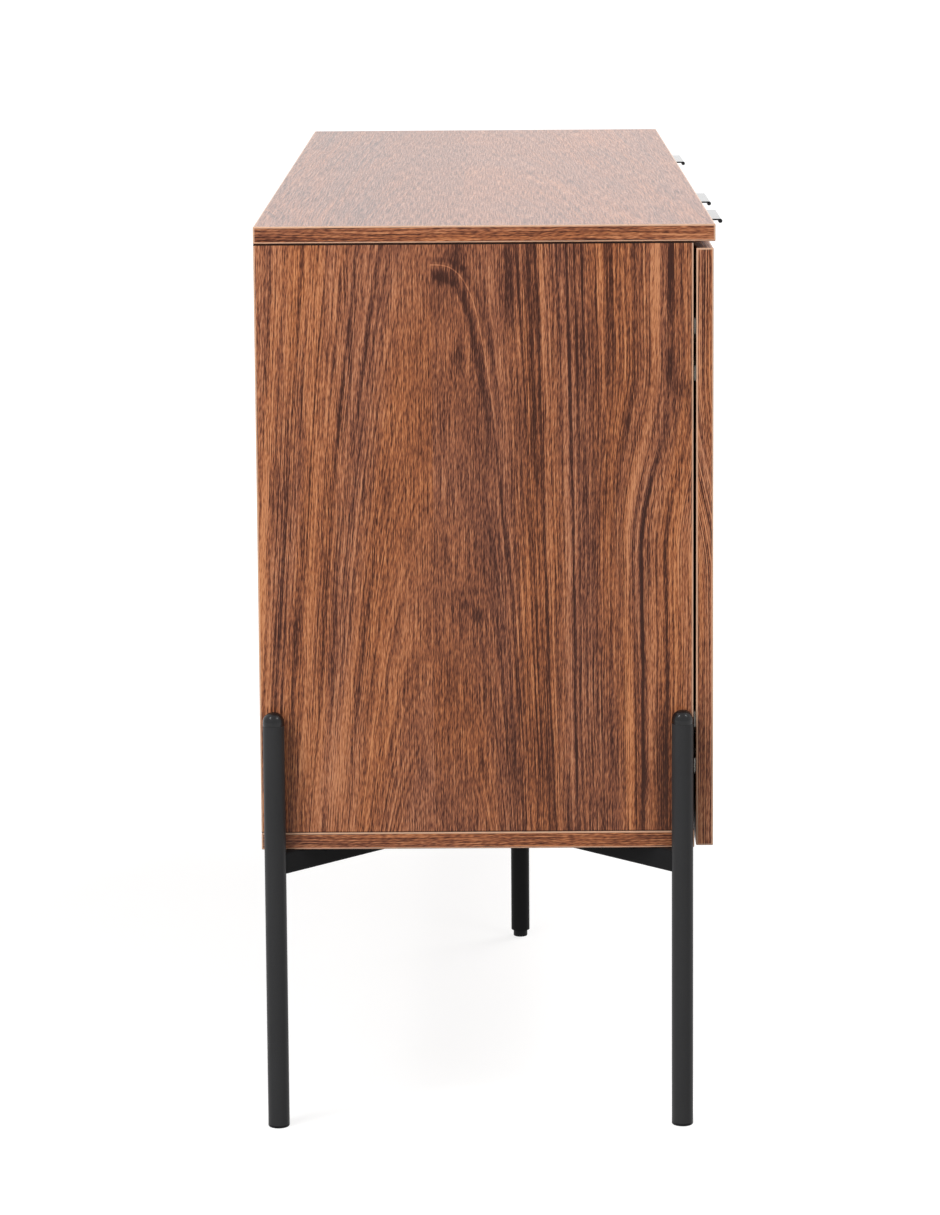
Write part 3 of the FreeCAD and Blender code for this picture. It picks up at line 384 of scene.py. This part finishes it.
def walnut_laminate(name, finish, grain, across, seam, side=1, origin=0.0, shift=0.0, figure=0.7, box=None,
                    joined=False, marked=False):
    """Melamine-faced board: a walnut print under a clear satin film, with short pores along the grain.

    The seam is where the print's two leaves meet, across the grain. The wide leaf lies on its side 1 or -1,
    and the leaves' heights count from the origin. The shift moves the print, so that the boards differ. The
    figure is the strength of the streaks. The box gives the board's pale arrises, part wear and part painted
    highlight, their places. A joined board stands between two others and gets painted shadow lines where it
    meets them. Only a marked board has the marks and the arch's rim."""
    # The film gives a dull shine head-on and a pale sheen at a low angle, as on the top
    material, tree, shader = new_material(
        name, IOR=1.5, Specular_IOR_Level=0.12, Coat_Weight=film_weight, Coat_IOR=1.18, Coat_Roughness=0.25)
    axes = {"X": 0, "Y": 1, "Z": 2}
    thick = axes[({"X", "Y", "Z"} - {grain, across}).pop()]
    grain, across = axes[grain], axes[across]
    coords = add(tree, "TexCoord")
    place = add(tree, "SeparateXYZ", {0: add(
        tree, "VectorMath", {0: coords.outputs["Object"], "Scale": 1 / mm}, operation="SCALE")}).outputs
    facing = add(tree, "SeparateXYZ", {0: add(
        tree, "VectorMath", {0: coords.outputs["Normal"]}, operation="ABSOLUTE")}).outputs

    # On a long edge the edge band's width counts as across the grain, and at an end the band's grain turns.
    # The band's print comes from far away in the pattern
    at_edge = add(tree, "Math", {0: facing[across], 1: squarely}, operation="GREATER_THAN")
    at_end = add(tree, "Math", {0: facing[grain], 1: squarely}, operation="GREATER_THAN")
    either = add(tree, "Math", {0: at_edge, 1: at_end}, operation="MAXIMUM")
    band = add(tree, "Math", {0: place[thick], 1: 3000.0}, operation="ADD")
    over = add(tree, "Mix", {0: either, 2: place[across], 3: band})
    along = add(tree, "Mix", {0: at_end, 2: place[grain], 3: place[across]})

    # The grain wanders by a few millimetres
    flat = add(tree, "CombineXYZ", {0: over, 1: along, 2: shift})
    wander_map = add(tree, "Mapping", {"Vector": flat, "Scale": (1 / 70, 1 / 260, 1)})
    wander = add(tree, "TexNoise", {"Vector": wander_map, "Scale": 1.0, "Detail": 2.0})
    wavy = add(tree, "Math", {0: wander, 1: 7.0, 2: -3.5}, operation="MULTIPLY_ADD")
    over = add(tree, "Math", {0: over, 1: wavy}, operation="ADD")

    # Fibres lie along the grain, and pores break them up
    fibre_place = add(tree, "CombineXYZ", {0: over, 1: along, 2: shift})
    fibre_map = add(tree, "Mapping", {"Vector": fibre_place, "Scale": (1 / fibre_width, 1 / fibre_length, 1)})
    fibre = add(tree, "TexNoise", {"Vector": fibre_map, "Scale": 1.0, "Detail": 1.0, "Roughness": 0.5})
    fibre = add(tree, "Math", {0: fibre, 1: 0.5}, operation="SUBTRACT")
    slipped = add(tree, "Math", {0: over, 1: pore_slip, 2: along}, operation="MULTIPLY_ADD")
    pore_place = add(tree, "CombineXYZ", {0: over, 1: slipped, 2: over})
    pore_map = add(tree, "Mapping", {"Vector": pore_place,
                                     "Scale": (1 / pore_width, 1 / pore_length, pore_shuffle)})
    pore = add(tree, "TexNoise", {"Vector": pore_map, "Scale": 1.0, "Detail": 1.0, "Roughness": 0.5})
    pore = add(tree, "Math", {0: pore, 1: 0.5}, operation="SUBTRACT")
    relief = add(tree, "Math", {0: fibre, 1: pore}, operation="ADD")

    # Place in the leaves, and their growth lines, which spread out and fade where they run flat
    from_seam = add(tree, "Math", {0: add(
        tree, "Math", {0: over, 1: seam}, operation="SUBTRACT"), 1: float(side)}, operation="MULTIPLY")
    rise = add(tree, "Math", {0: add(
        tree, "Math", {0: along, 1: origin}, operation="SUBTRACT"), 1: 1.0}, operation="MAXIMUM")
    on_wide, arch, flank, line, wide_rate, rate = growth_lines(tree, from_seam, rise)
    close = add(tree, "MapRange", {"Value": rate, "From Min": 0.15, "From Max": 0.7,
                                   "To Min": 0.05, "To Max": 1.0})
    strong = add(tree, "Math", {0: either, 1: 1.0, 2: close}, operation="MULTIPLY_ADD")

    # Tone of the print: the wide leaf is a little darker, and clouds drift over both
    strength = figure ** 0.5
    ring_place = add(tree, "CombineXYZ", {0: line, 1: along, 2: shift})
    tone = add(tree, "Math", {0: on_wide, 1: -0.06, 2: 0.52}, operation="MULTIPLY_ADD")
    cloud_map = add(tree, "Mapping", {"Vector": fibre_place, "Scale": (1 / 22, 1 / 120, 1),
                                      "Location": (5.5, 1.7, 0)})
    cloud = add(tree, "TexNoise", {"Vector": cloud_map, "Scale": 1.0, "Detail": 3.0, "Roughness": 0.6})
    tone = add(tree, "Math", {0: cloud, 1: 0.3 * strength, 2: tone}, operation="MULTIPLY_ADD")
    tone = add(tree, "Math", {0: tone, 1: 0.15 * strength}, operation="SUBTRACT")
    tone = add(tree, "Math", {0: either, 1: 0.06, 2: tone}, operation="MULTIPLY_ADD")
    for width, length, weight in print_layers:
        weight *= strength
        layer_map = add(tree, "Mapping", {"Vector": ring_place, "Scale": (1 / width, 1 / length, 1)})
        layer = add(tree, "TexNoise", {"Vector": layer_map, "Scale": 1.0, "Detail": 1.0, "Roughness": 0.6})
        layer = add(tree, "Math", {0: layer, 1: weight, 2: -weight / 2}, operation="MULTIPLY_ADD")
        tone = add(tree, "Math", {0: layer, 1: strong, 2: tone}, operation="MULTIPLY_ADD")
    tone = add(tree, "Math", {0: fibre, 1: 1.2, 2: tone}, operation="MULTIPLY_ADD")
    tone = add(tree, "Math", {0: pore, 1: 1.35, 2: tone}, operation="MULTIPLY_ADD")

    # The streaks, stronger and weaker along their length, with feathered edges that follow the fibres
    feathered = add(tree, "Math", {0: fibre, 1: 2.0, 2: arch}, operation="MULTIPLY_ADD")
    wide_tone = streak_curve(tree, feathered, wide_leaf, wide_leaf_streaks)
    feathered = add(tree, "Math", {0: fibre, 1: 2.0, 2: flank}, operation="MULTIPLY_ADD")
    narrow_tone = streak_curve(tree, feathered, narrow_leaf, narrow_leaf_streaks)
    streak = add(tree, "Mix", {0: on_wide, 2: narrow_tone, 3: wide_tone})
    fade_map = add(tree, "Mapping", {"Vector": ring_place, "Scale": (1 / 26, 1 / 150, 1),
                                     "Location": (7.3, 2.1, 0)})
    fade = add(tree, "TexNoise", {"Vector": fade_map, "Scale": 1.0, "Detail": 1.0})
    fade = add(tree, "MapRange", {"Value": fade, "From Min": 0.34, "From Max": 0.6,
                                  "To Min": 0.45 * figure, "To Max": 1.2 * figure})
    fade = add(tree, "Math", {0: fade, 1: close}, operation="MULTIPLY")
    tone = add(tree, "Math", {0: streak, 1: fade, 2: tone}, operation="MULTIPLY_ADD")
    if marked:
        tone = with_marks(tree, tone, from_seam, rise, on_wide, arch, wide_rate)

    # Inks of the print, from its veins to its palest flecks
    ramp = add(tree, "ValToRGB", {"Fac": tone})
    stops = [
        (0.05, finish.walnut_vein), (0.3, finish.walnut_dark), (0.5, finish.walnut_mid),
        (0.7, finish.walnut_light), (0.95, finish.walnut_pale),
    ]
    while len(ramp.color_ramp.elements) < len(stops):
        ramp.color_ramp.elements.new(0.5)
    for element, (position, value) in zip(ramp.color_ramp.elements, stops):
        element.position = position
        element.color = (*value, 1)

    # Some growth is warmer and some cooler
    warm_map = add(tree, "Mapping", {"Vector": ring_place, "Scale": (1 / 24, 1 / 500, 1),
                                     "Location": (3.1, 5.7, 0)})
    warm = add(tree, "TexNoise", {"Vector": warm_map, "Scale": 1.0, "Detail": 2.0})
    warm = add(tree, "MapRange", {"Value": warm, "From Min": 0.38, "From Max": 0.62})
    tint = add(tree, "Mix", {0: warm, 6: (0.97, 1.0, 1.08, 1), 7: (1.06, 1.0, 0.87, 1)}, data_type="RGBA")
    paint = add(tree, "Mix", {0: 1.0, 6: ramp, 7: tint.outputs[2]}, data_type="RGBA", blend_type="MULTIPLY")

    if box:
        low, high = (corner / mm for corner in box)
        # Pale arrises: part wear of the foil, part painted highlight
        wear_and_highlight = worn_and_lit_arris(tree, coords, place, low, high, grain, across, thick, joined)
        paint = add(tree, "Mix", {0: wear_and_highlight, 6: paint.outputs[2], 7: (*finish.arris, 1)}, data_type="RGBA")
        if joined:
            # Painted shadow darkens the line where an upright meets a board, and that line has none of the
            # film's sheen
            joint = joint_shadow_line(tree, place[grain], low[grain], high[grain])
            paint = add(tree, "Mix", {0: joint, 6: paint.outputs[2], 7: (*finish.joint, 1)},
                        data_type="RGBA")
            sheen = add(tree, "MapRange", {"Value": joint, "To Min": film_weight, "To Max": 0.0})
            tree.links.new(sheen.outputs[0], shader.inputs["Coat Weight"])
    tree.links.new(paint.outputs[2], shader.inputs["Base Color"])

    rough = add(tree, "MapRange", {"Value": relief, "From Min": -0.2, "From Max": 0.2,
                                   "To Min": 0.36, "To Max": 0.26})
    tree.links.new(rough.outputs[0], shader.inputs["Roughness"])
    bump = add(tree, "Bump", {"Height": relief, "Distance": 0.05 * mm, "Strength": 0.5})
    tree.links.new(bump.outputs[0], shader.inputs["Normal"])
    return material


def vary(tree, shader, tint, pattern, shades, roughnesses):
    """Lets a random pattern vary a finish's colour and roughness, each between two values."""
    shade = add(tree, "MapRange", {"Value": pattern, "From Min": 0.3, "From Max": 0.7,
                                   "To Min": shades[0], "To Max": shades[1]})
    paint = add(tree, "Mix", {0: 1.0, 6: (*tint, 1), 7: shade}, data_type="RGBA", blend_type="MULTIPLY")
    tree.links.new(paint.outputs[2], shader.inputs["Base Color"])
    rough = add(tree, "MapRange", {"Value": pattern, "From Min": 0.3, "From Max": 0.7,
                                   "To Min": roughnesses[0], "To Max": roughnesses[1]})
    tree.links.new(rough.outputs[0], shader.inputs["Roughness"])


def speckled(name, tint, grain_mm, variation, roughness, depth_mm=0.0, **values):
    """A finish with a random grain in its colour, gloss and height, and a slow drift over the piece.

    A grain that is really finer than 0.7 mm is drawn that wide, so that it shows."""
    material, tree, shader = new_material(name, **values)
    coords = add(tree, "TexCoord")
    grain = add(tree, "TexNoise", {"Vector": coords.outputs["Object"], "Scale": 1 / (grain_mm * mm),
                                   "Detail": 2.0})
    drift = add(tree, "TexNoise", {"Vector": coords.outputs["Object"], "Scale": 14.0, "Detail": 2.0})
    both = add(tree, "Math", {0: drift, 1: 0.5, 2: add(
        tree, "Math", {0: grain, 1: 0.5}, operation="MULTIPLY")}, operation="MULTIPLY_ADD")
    vary(tree, shader, tint, both, (1 - variation, 1 + variation), (roughness * 0.85, roughness * 1.15))
    if depth_mm:
        bump = add(tree, "Bump", {"Height": grain, "Distance": depth_mm * mm, "Strength": 0.5})
        tree.links.new(bump.outputs[0], shader.inputs["Normal"])
    return material


def brushed(name, tint, along, roughness, **values):
    """Plated steel with lines from rolling or drawing along one axis.

    Real lines are about 0.1 mm wide and are drawn 0.35 mm wide, so that they show."""
    material, tree, shader = new_material(name, Metallic=1.0, **values)
    coords = add(tree, "TexCoord")
    stretch = [1 / (0.35 * mm)] * 3
    stretch["XYZ".index(along)] = 1 / (18 * mm)
    lined = add(tree, "Mapping", {"Vector": coords.outputs["Object"], "Scale": stretch})
    lines = add(tree, "TexNoise", {"Vector": lined, "Scale": 1.0, "Detail": 2.0})
    vary(tree, shader, tint, lines, (0.88, 1.08), (roughness * 0.75, roughness * 1.25))
    return material


def seen_directly(tree):
    """One where the camera, a gloss or a clear plastic looks at a surface, and nought for its light."""
    rays = add(tree, "LightPath").outputs
    seen = add(tree, "Math", {0: rays["Is Camera Ray"], 1: rays["Is Glossy Ray"]}, operation="MAXIMUM")
    return add(tree, "Math", {0: seen, 1: rays["Is Transmission Ray"]}, operation="MAXIMUM")


def deselect():
    """Leaves edit mode with nothing selected."""
    if bpy.context.mode != "OBJECT":
        bpy.ops.object.mode_set(mode="OBJECT")
    bpy.ops.object.select_all(action="DESELECT")


def pick(kind, test):
    """Selects only the verts, edges or faces that pass a test, in edit mode."""
    bpy.ops.mesh.select_mode(type={"verts": "VERT", "edges": "EDGE", "faces": "FACE"}[kind])
    bpy.ops.mesh.select_all(action="DESELECT")
    data = bpy.context.object.data
    shape = bmesh.from_edit_mesh(data)
    for item in getattr(shape, kind):
        if test(item):
            item.select_set(True)
    bmesh.update_edit_mesh(data)


def middle(edge):
    """The middle point of an edge."""
    return (edge.verts[0].co + edge.verts[1].co) / 2


def settle(name):
    """Ends a piece: its name, its place in its mesh, smooth faces and sharp edges."""
    if bpy.context.mode != "OBJECT":
        bpy.ops.object.mode_set(mode="OBJECT")
    piece = bpy.context.object
    piece.name = name
    piece.data.name = name
    bpy.ops.object.transform_apply(location=True, rotation=True, scale=True)
    bpy.ops.object.shade_smooth_by_angle(angle=math.radians(35))
    return piece


def twin(piece, name, offset):
    """A copy with its own mesh, moved by an offset that goes into the mesh."""
    deselect()
    piece.select_set(True)
    bpy.context.view_layer.objects.active = piece
    bpy.ops.object.duplicate(linked=False)
    made = bpy.context.object
    bpy.ops.transform.translate(value=offset)
    bpy.ops.object.transform_apply(location=True, rotation=False, scale=False)
    made.name = name
    made.data.name = name
    return made


class CREDENZA_OT_boards(bpy.types.Operator):
    """Gives the boards, doors and drawer fronts their walnut print"""

    bl_idname = "credenza.boards"
    bl_label = "Walnut Boards"

    def execute(self, context):
        finish = context.scene.credenza_finish
        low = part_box("left_end_panel")[0].z / mm

        # The end panels have the boldest print, with a seam 154 mm from the back, and the left one has marks
        seam = back_y / mm - 154.0
        for name, node, below, shift, figure, marked in (
            ("walnut_end_panel", "left_end_panel", 100.0, 0.0, 1.0, True),
            ("walnut_right_end_panel", "right_end_panel", 40.0, 5.0, 0.9, False),
        ):
            dress(walnut_laminate(
                name, finish, "Z", "Y", seam, side=-1, origin=low - below, shift=shift, figure=figure,
                box=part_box(node), joined=True, marked=marked), node)
        dress(walnut_laminate(
            "walnut_partition", finish, "Z", "Y", 20.0, origin=low - 100.0, shift=11.0),
            "left_partition", "right_partition")

        # The print runs on from one drawer front to the next
        for name, node, seam, side, shift in (
            ("walnut_left_door", "left_door", -445.0, 1, 21.0),
            ("walnut_middle_door", "middle_door", 40.0, -1, 31.0),
            ("walnut_top_drawer", "top_drawer_front", 360.0, 1, 41.0),
            ("walnut_middle_drawer", "middle_drawer_front", 360.0, 1, 41.0),
            ("walnut_bottom_drawer", "bottom_drawer_front", 360.0, 1, 41.0),
        ):
            dress(walnut_laminate(
                name, finish, "Z", "X", seam, side=side, origin=low - 120.0, shift=shift, figure=0.8,
                box=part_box(node)), node)

        # The lying boards have a quiet print, with the grain along the cabinet
        for name, node, seam, shift in (
            ("walnut_top", "top_board", 30.0, 51.0),
            ("walnut_bottom", "bottom_board", -40.0, 61.0),
            ("walnut_left_shelf", "left_shelf", 10.0, 71.0),
            ("walnut_middle_shelf", "middle_shelf", 10.0, 71.0),
        ):
            dress(walnut_laminate(
                name, finish, "X", "Y", seam, origin=-900.0, shift=shift, figure=0.16, box=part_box(node)),
                node)
        return {"FINISHED"}


class CREDENZA_OT_insides(bpy.types.Operator):
    """Finishes the back panel, the drawer boxes and the wooden and soft small parts"""

    bl_idname = "credenza.insides"
    bl_label = "Insides"

    def execute(self, context):
        finish = context.scene.credenza_finish
        # Hardboard, pressed from wood fibre: matt brown, with a felted grain
        dress(speckled("hardboard", finish.hardboard, grain_mm=1.2, variation=0.12, roughness=0.7,
                       depth_mm=0.05), "back_panel")

        # Particle board wrapped in a printed paper foil: pale, even and nearly matt
        foil = speckled("drawer_foil", finish.drawer_foil, grain_mm=0.8, variation=0.06, roughness=0.5,
                        depth_mm=0.03)
        for drawer in ("top_drawer", "middle_drawer", "bottom_drawer"):
            dress(foil, drawer + "_sides", drawer + "_back", drawer + "_floor")

        # Turned beech: pale and dry, with small flecks
        dress(speckled("beech_dowel", finish.beech, grain_mm=0.9, variation=0.1, roughness=0.6), "dowels")

        # Moulded polyurethane: milky, so that light passes through, and smooth
        dress(speckled("soft_bumper", finish.bumper, grain_mm=2.0, variation=0.03, roughness=0.25,
                       Transmission_Weight=0.6), "bumpers")
        return {"FINISHED"}


class CREDENZA_OT_fittings(bpy.types.Operator):
    """Finishes the hinges, runners, screws and cams"""

    bl_idname = "credenza.fittings"
    bl_label = "Fittings"

    def execute(self, context):
        finish = context.scene.credenza_finish
        # Pressed steel with bright nickel: warm grey with sharp glints, painted darker as shade, as in the
        # door's gap
        nickel = brushed("nickel_plated_steel", finish.nickel, "Z", 0.28)
        dress(nickel, "hinge_mounts", "left_hinge_cups", "left_hinge_links", "middle_hinge_cups",
              "middle_hinge_links", "left_door_screws", "middle_door_screws", "shelf_pins")
        # Roll-formed and turned steel with blue zinc: cool grey, with duller, broader glints
        zinc = brushed("zinc_plated_steel", finish.zinc, "Y", 0.36)
        dress(zinc, "cabinet_rails", "inside_screws", "frame_fasteners", "cam_fittings")
        for drawer in ("top_drawer", "middle_drawer", "bottom_drawer"):
            dress(zinc, drawer + "_rails", drawer + "_mid_rails", drawer + "_fittings")
        return {"FINISHED"}


class CREDENZA_OT_legs(bpy.types.Operator):
    """Finishes the legs, braces and feet, and models the domed caps"""

    bl_idname = "credenza.legs"
    bl_label = "Legs and Caps"

    def execute(self, context):
        finish = context.scene.credenza_finish
        sizes = context.scene.credenza_sizes
        legs = ["back_left_leg", "front_left_leg", "back_right_leg", "front_right_leg"]
        # Powder coat, sprayed and baked on steel: an even satin black with a slight orange peel. The braces
        # and the middle support have the same coat, painted darker as shade under the bottom board
        dress(speckled("black_powder_coat", finish.powder_coat, grain_mm=0.9, variation=0.12, roughness=0.4,
                       depth_mm=0.05, Specular_IOR_Level=0.12), *legs)
        dress(speckled("dark_powder_coat", finish.shaded_under_coat, grain_mm=0.9, variation=0.12, roughness=0.45,
                       depth_mm=0.05, Specular_IOR_Level=0.06), "leg_braces", "middle_support")

        # Moulded polypropylene for the glides: dull black. ABS from a polished mould for the caps: smooth
        # enough for two small highlights on each dome
        dress(speckled("moulded_plastic", finish.plastic, grain_mm=0.7, variation=0.08, roughness=0.45,
                       Specular_IOR_Level=0.12), "leg_glides", "support_foot")
        gloss = speckled("gloss_cap_plastic", finish.cap, grain_mm=3.0, variation=0.05, roughness=0.24,
                         Specular_IOR_Level=0.38)

        low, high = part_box(legs[0])
        top_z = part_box("leg_caps")[1].z
        radius = (high.x - low.x) / 2
        base_z = high.z
        rise = top_z - base_z

        # A cap is a short cylinder in line with its leg, with a wide bevel for its dome and a narrow one
        # below, for the parting line
        deselect()
        bpy.ops.mesh.primitive_cylinder_add(
            vertices=64, radius=radius, depth=rise,
            location=((low.x + high.x) / 2, (low.y + high.y) / 2, base_z + rise / 2))
        bpy.ops.object.transform_apply(location=True)
        bpy.ops.object.mode_set(mode="EDIT")
        pick("edges", lambda edge: middle(edge).z > top_z - rise / 4)
        bpy.ops.mesh.bevel(offset=rise - sizes.cap_band, segments=14, profile=0.5, affect="EDGES")
        pick("edges", lambda edge: max(v.co.z for v in edge.verts) < base_z + rise / 1000)
        bpy.ops.mesh.bevel(offset=sizes.cap_groove, segments=2, affect="EDGES")
        first = settle("back_left_cap")
        first.data.materials.append(gloss)
        caps = [first]
        for leg in legs[1:]:
            other_low, other_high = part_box(leg)
            caps.append(twin(first, leg.replace("_leg", "_cap"), (other_low + other_high - low - high) / 2))
        for cap in caps:
            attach(cap, "cabinet")
        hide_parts("leg_caps")
        return {"FINISHED"}


class CREDENZA_OT_pulls(bpy.types.Operator):
    """Models the folded edge pulls of the doors and the drawers"""

    bl_idname = "credenza.pulls"
    bl_label = "Edge Pulls"

    def execute(self, context):
        finish = context.scene.credenza_finish
        sizes = context.scene.credenza_sizes
        # Folded steel sheet under a clear lacquer: deep black, with a crisp pale reflection of the studio
        coat = speckled(
            "black_lacquered_steel", finish.pull, grain_mm=1.5, variation=0.05, roughness=0.14,
            Specular_IOR_Level=0.15, Coat_Weight=1.0, Coat_IOR=1.22, Coat_Roughness=0.08)

        # Each pull rides with the front that it is screwed to
        owners = {"left_door": "left_door", "middle_door": "middle_door", "top_drawer": "top_drawer",
                  "middle_drawer": "middle_drawer", "bottom_drawer": "bottom_drawer"}
        low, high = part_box("left_door_pull")
        sheet = sizes.pull_sheet
        bead = sizes.pull_bead
        bead_y = low.y + bead
        length = high.x - low.x
        centre_x = (low.x + high.x) / 2

        # A flat plate over the front's edge, with a lip folded down behind it
        deselect()
        bpy.ops.mesh.primitive_cube_add(
            size=1, location=(centre_x, (bead_y + high.y) / 2, high.z - sheet / 2),
            scale=(length, high.y - bead_y, sheet))
        bpy.ops.object.transform_apply(location=True, rotation=True, scale=True)
        bpy.ops.object.mode_set(mode="EDIT")
        bpy.ops.mesh.select_all(action="SELECT")
        bpy.ops.mesh.bisect(plane_co=(0, high.y - sheet, 0), plane_no=(0, 1, 0))
        pick("faces", lambda face: face.normal.z < -0.9 and face.calc_center_median().y > high.y - sheet)
        bpy.ops.mesh.extrude_region_move(
            TRANSFORM_OT_translate={"value": (0, 0, low.z - high.z + sheet)})

        def across(edge):
            """Whether an edge runs along the pull's whole length."""
            return abs((edge.verts[0].co - edge.verts[1].co).x) > length / 2

        pick("edges", lambda edge: across(edge) and middle(edge).y > high.y - sheet / 2
             and middle(edge).z > high.z - sheet / 2)
        bpy.ops.mesh.bevel(offset=sizes.pull_fold, segments=5, affect="EDGES")
        pick("edges", lambda edge: not across(edge) and middle(edge).z < low.z + sheet / 2
             and abs((edge.verts[0].co - edge.verts[1].co).y) > sheet / 2)
        bpy.ops.mesh.bevel(offset=sizes.pull_corner, segments=6, affect="EDGES")

        # The round bead along the plate's front, and the eased edges of it all
        bpy.ops.mesh.select_all(action="DESELECT")
        bpy.ops.mesh.primitive_cylinder_add(
            vertices=32, radius=bead, depth=length, location=(centre_x, bead_y, high.z - bead),
            rotation=(0, math.radians(90), 0))
        first = settle("left_door_edge_pull")
        ease = first.modifiers.new("ease", "BEVEL")
        ease.width = sizes.pull_ease
        ease.segments = 2
        ease.limit_method = "ANGLE"
        ease.angle_limit = math.radians(50)
        bpy.ops.object.modifier_apply(modifier="ease")
        first.data.materials.append(coat)
        pulls = {"left_door": first}
        for name in owners:
            if name not in pulls:
                other_low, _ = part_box(name + "_pull")
                pulls[name] = twin(first, name + "_edge_pull", other_low - low)
        for name, piece in pulls.items():
            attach(piece, owners[name])
            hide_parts(name + "_pull")
        return {"FINISHED"}


class CREDENZA_OT_stage(bpy.types.Operator):
    """Sets the floor, the white surroundings, the lamps and the camera"""

    bl_idname = "credenza.stage"
    bl_label = "Stage"

    def execute(self, context):
        finish = context.scene.credenza_finish
        scene = context.scene
        scene.view_settings.view_transform = "Standard"

        world = bpy.data.worlds.new("studio")
        scene.world = world
        world.use_nodes = True
        tree = world.node_tree
        tree.nodes.clear()
        soft = add(tree, "Background", {"Color": (1, 1, 1, 1), "Strength": 0.2})
        white = add(tree, "Background", {"Color": (1, 1, 1, 1), "Strength": 1.0})
        chosen = add(tree, "MixShader", {0: seen_directly(tree), 1: soft, 2: white})
        add(tree, "OutputWorld", {0: chosen})

        # The floor has a matt grey paint that catches the shadows, and shows as white. Far from the lamps it
        # would turn grey, so it shines more by itself there
        deselect()
        bpy.ops.mesh.primitive_circle_add(vertices=96, radius=60.0, fill_type="NGON", location=(0, 0, 0))
        floor = settle("floor")
        material, tree, shader = new_material("studio_floor", Roughness=0.9)
        shader.inputs["Base Color"].default_value = (*finish.floor, 1)
        away = add(tree, "VectorMath", {0: add(tree, "TexCoord").outputs["Object"]}, operation="LENGTH")
        away = add(tree, "MapRange", {"Value": away.outputs["Value"], "From Min": 1.5, "From Max": 3.0,
                                      "To Min": 0.8, "To Max": 1.0})
        shine = add(tree, "Math", {0: seen_directly(tree), 1: away}, operation="MULTIPLY")
        tree.links.new(shine.outputs[0], shader.inputs["Emission Strength"])
        shader.inputs["Emission Color"].default_value = (1, 1, 1, 1)
        floor.data.materials.append(material)

        # Each lamp: its direction from the object, distance, width, height, light and gloss. A light of 1
        # shows a white surface that faces the lamp as white. The softboxes give no gloss, because the top
        # would show them as glare. The small lamps, higher up, put two highlights on each domed cap
        aim = Vector((0, 0, 0.45))
        for name, way, distance, width, height, light, glossy in (
            ("left_softbox", (-0.70, 0.54, 0.50), 3.2, 1.5, 4.2, 0.87, False),
            ("left_lamp", (-0.50, 0.50, 0.75), 3.2, 0.45, 0.45, 0.16, True),
            ("front_softbox", (-0.62, -0.68, 0.45), 3.4, 1.3, 1.6, 0.23, False),
            ("front_lamp", (-0.45, -0.54, 0.75), 3.2, 0.45, 0.45, 0.12, True),
            ("far_softbox", (0.60, -0.55, 0.62), 3.6, 2.2, 2.2, 1.04, False),
        ):
            data = bpy.data.lights.new(name, "AREA")
            data.shape = "RECTANGLE"
            data.size = width
            data.size_y = height
            data.energy = light * math.pi ** 2 * distance ** 2
            lamp = bpy.data.objects.new(name, data)
            scene.collection.objects.link(lamp)
            lamp.location = aim + Vector(way).normalized() * distance
            lamp.rotation_euler = (lamp.location - aim).to_track_quat("Z", "Y").to_euler()
            lamp.visible_camera = False
            lamp.visible_glossy = glossy

        # The camera stands before the left end, a little above the top, and looks slightly down. Its focal
        # length and shift are in the photograph's pixels, its angles in degrees and its place in metres
        photo_height = 1215.0
        focal_length = 3851.9
        shift = -230.0
        data = bpy.data.cameras.new("camera")
        data.sensor_width = 36.0
        data.lens = focal_length / photo_height * data.sensor_width
        data.shift_y = shift / photo_height
        data.clip_end = 100.0
        camera = bpy.data.objects.new("camera", data)
        scene.collection.objects.link(camera)
        yaw, pitch, roll = (math.radians(angle) for angle in (-0.34, 7.599, -0.413))
        forward = Vector((math.cos(yaw), -math.sin(yaw), 0))
        right = Vector((-math.sin(yaw), -math.cos(yaw), 0))
        up = Vector((0, 0, 1))
        forward, up = (math.cos(pitch) * forward - math.sin(pitch) * up,
                       math.sin(pitch) * forward + math.cos(pitch) * up)
        right, up = (math.cos(roll) * right + math.sin(roll) * up,
                     -math.sin(roll) * right + math.cos(roll) * up)
        turn = Matrix((right, up, -forward)).transposed().to_4x4()
        place = Vector((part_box("top_board")[0].x - 3.3158, back_y - 0.2066, 1.1109))
        camera.matrix_world = Matrix.Translation(place) @ turn
        scene.camera = camera
        return {"FINISHED"}


class CREDENZA_PT_panel(bpy.types.Panel):
    """Lists the credenza's pieces, sizes and colours"""

    bl_label = "Credenza"
    bl_idname = "CREDENZA_PT_panel"
    bl_space_type = "VIEW_3D"
    bl_region_type = "UI"
    bl_category = "Credenza"

    def draw(self, context):
        layout = self.layout
        for operator in operators:
            layout.operator(operator.bl_idname)
        for group in (context.scene.credenza_sizes, context.scene.credenza_finish):
            column = layout.column()
            for name in group.__annotations__:
                column.prop(group, name)


operators = (
    CREDENZA_OT_boards,
    CREDENZA_OT_insides,
    CREDENZA_OT_fittings,
    CREDENZA_OT_legs,
    CREDENZA_OT_pulls,
    CREDENZA_OT_stage,
)
classes = (CredenzaSizes, CredenzaFinish, *operators, CREDENZA_PT_panel)


def register():
    for each in classes:
        bpy.utils.register_class(each)
    bpy.types.Scene.credenza_sizes = bpy.props.PointerProperty(type=CredenzaSizes)
    bpy.types.Scene.credenza_finish = bpy.props.PointerProperty(type=CredenzaFinish)


def unregister():
    del bpy.types.Scene.credenza_finish
    del bpy.types.Scene.credenza_sizes
    for each in reversed(classes):
        bpy.utils.unregister_class(each)


def main():
    """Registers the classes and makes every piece."""
    register()
    bpy.ops.credenza.boards()
    bpy.ops.credenza.insides()
    bpy.ops.credenza.fittings()
    bpy.ops.credenza.legs()
    bpy.ops.credenza.pulls()
    bpy.ops.credenza.stage()


if __name__ == "__main__":
    main()
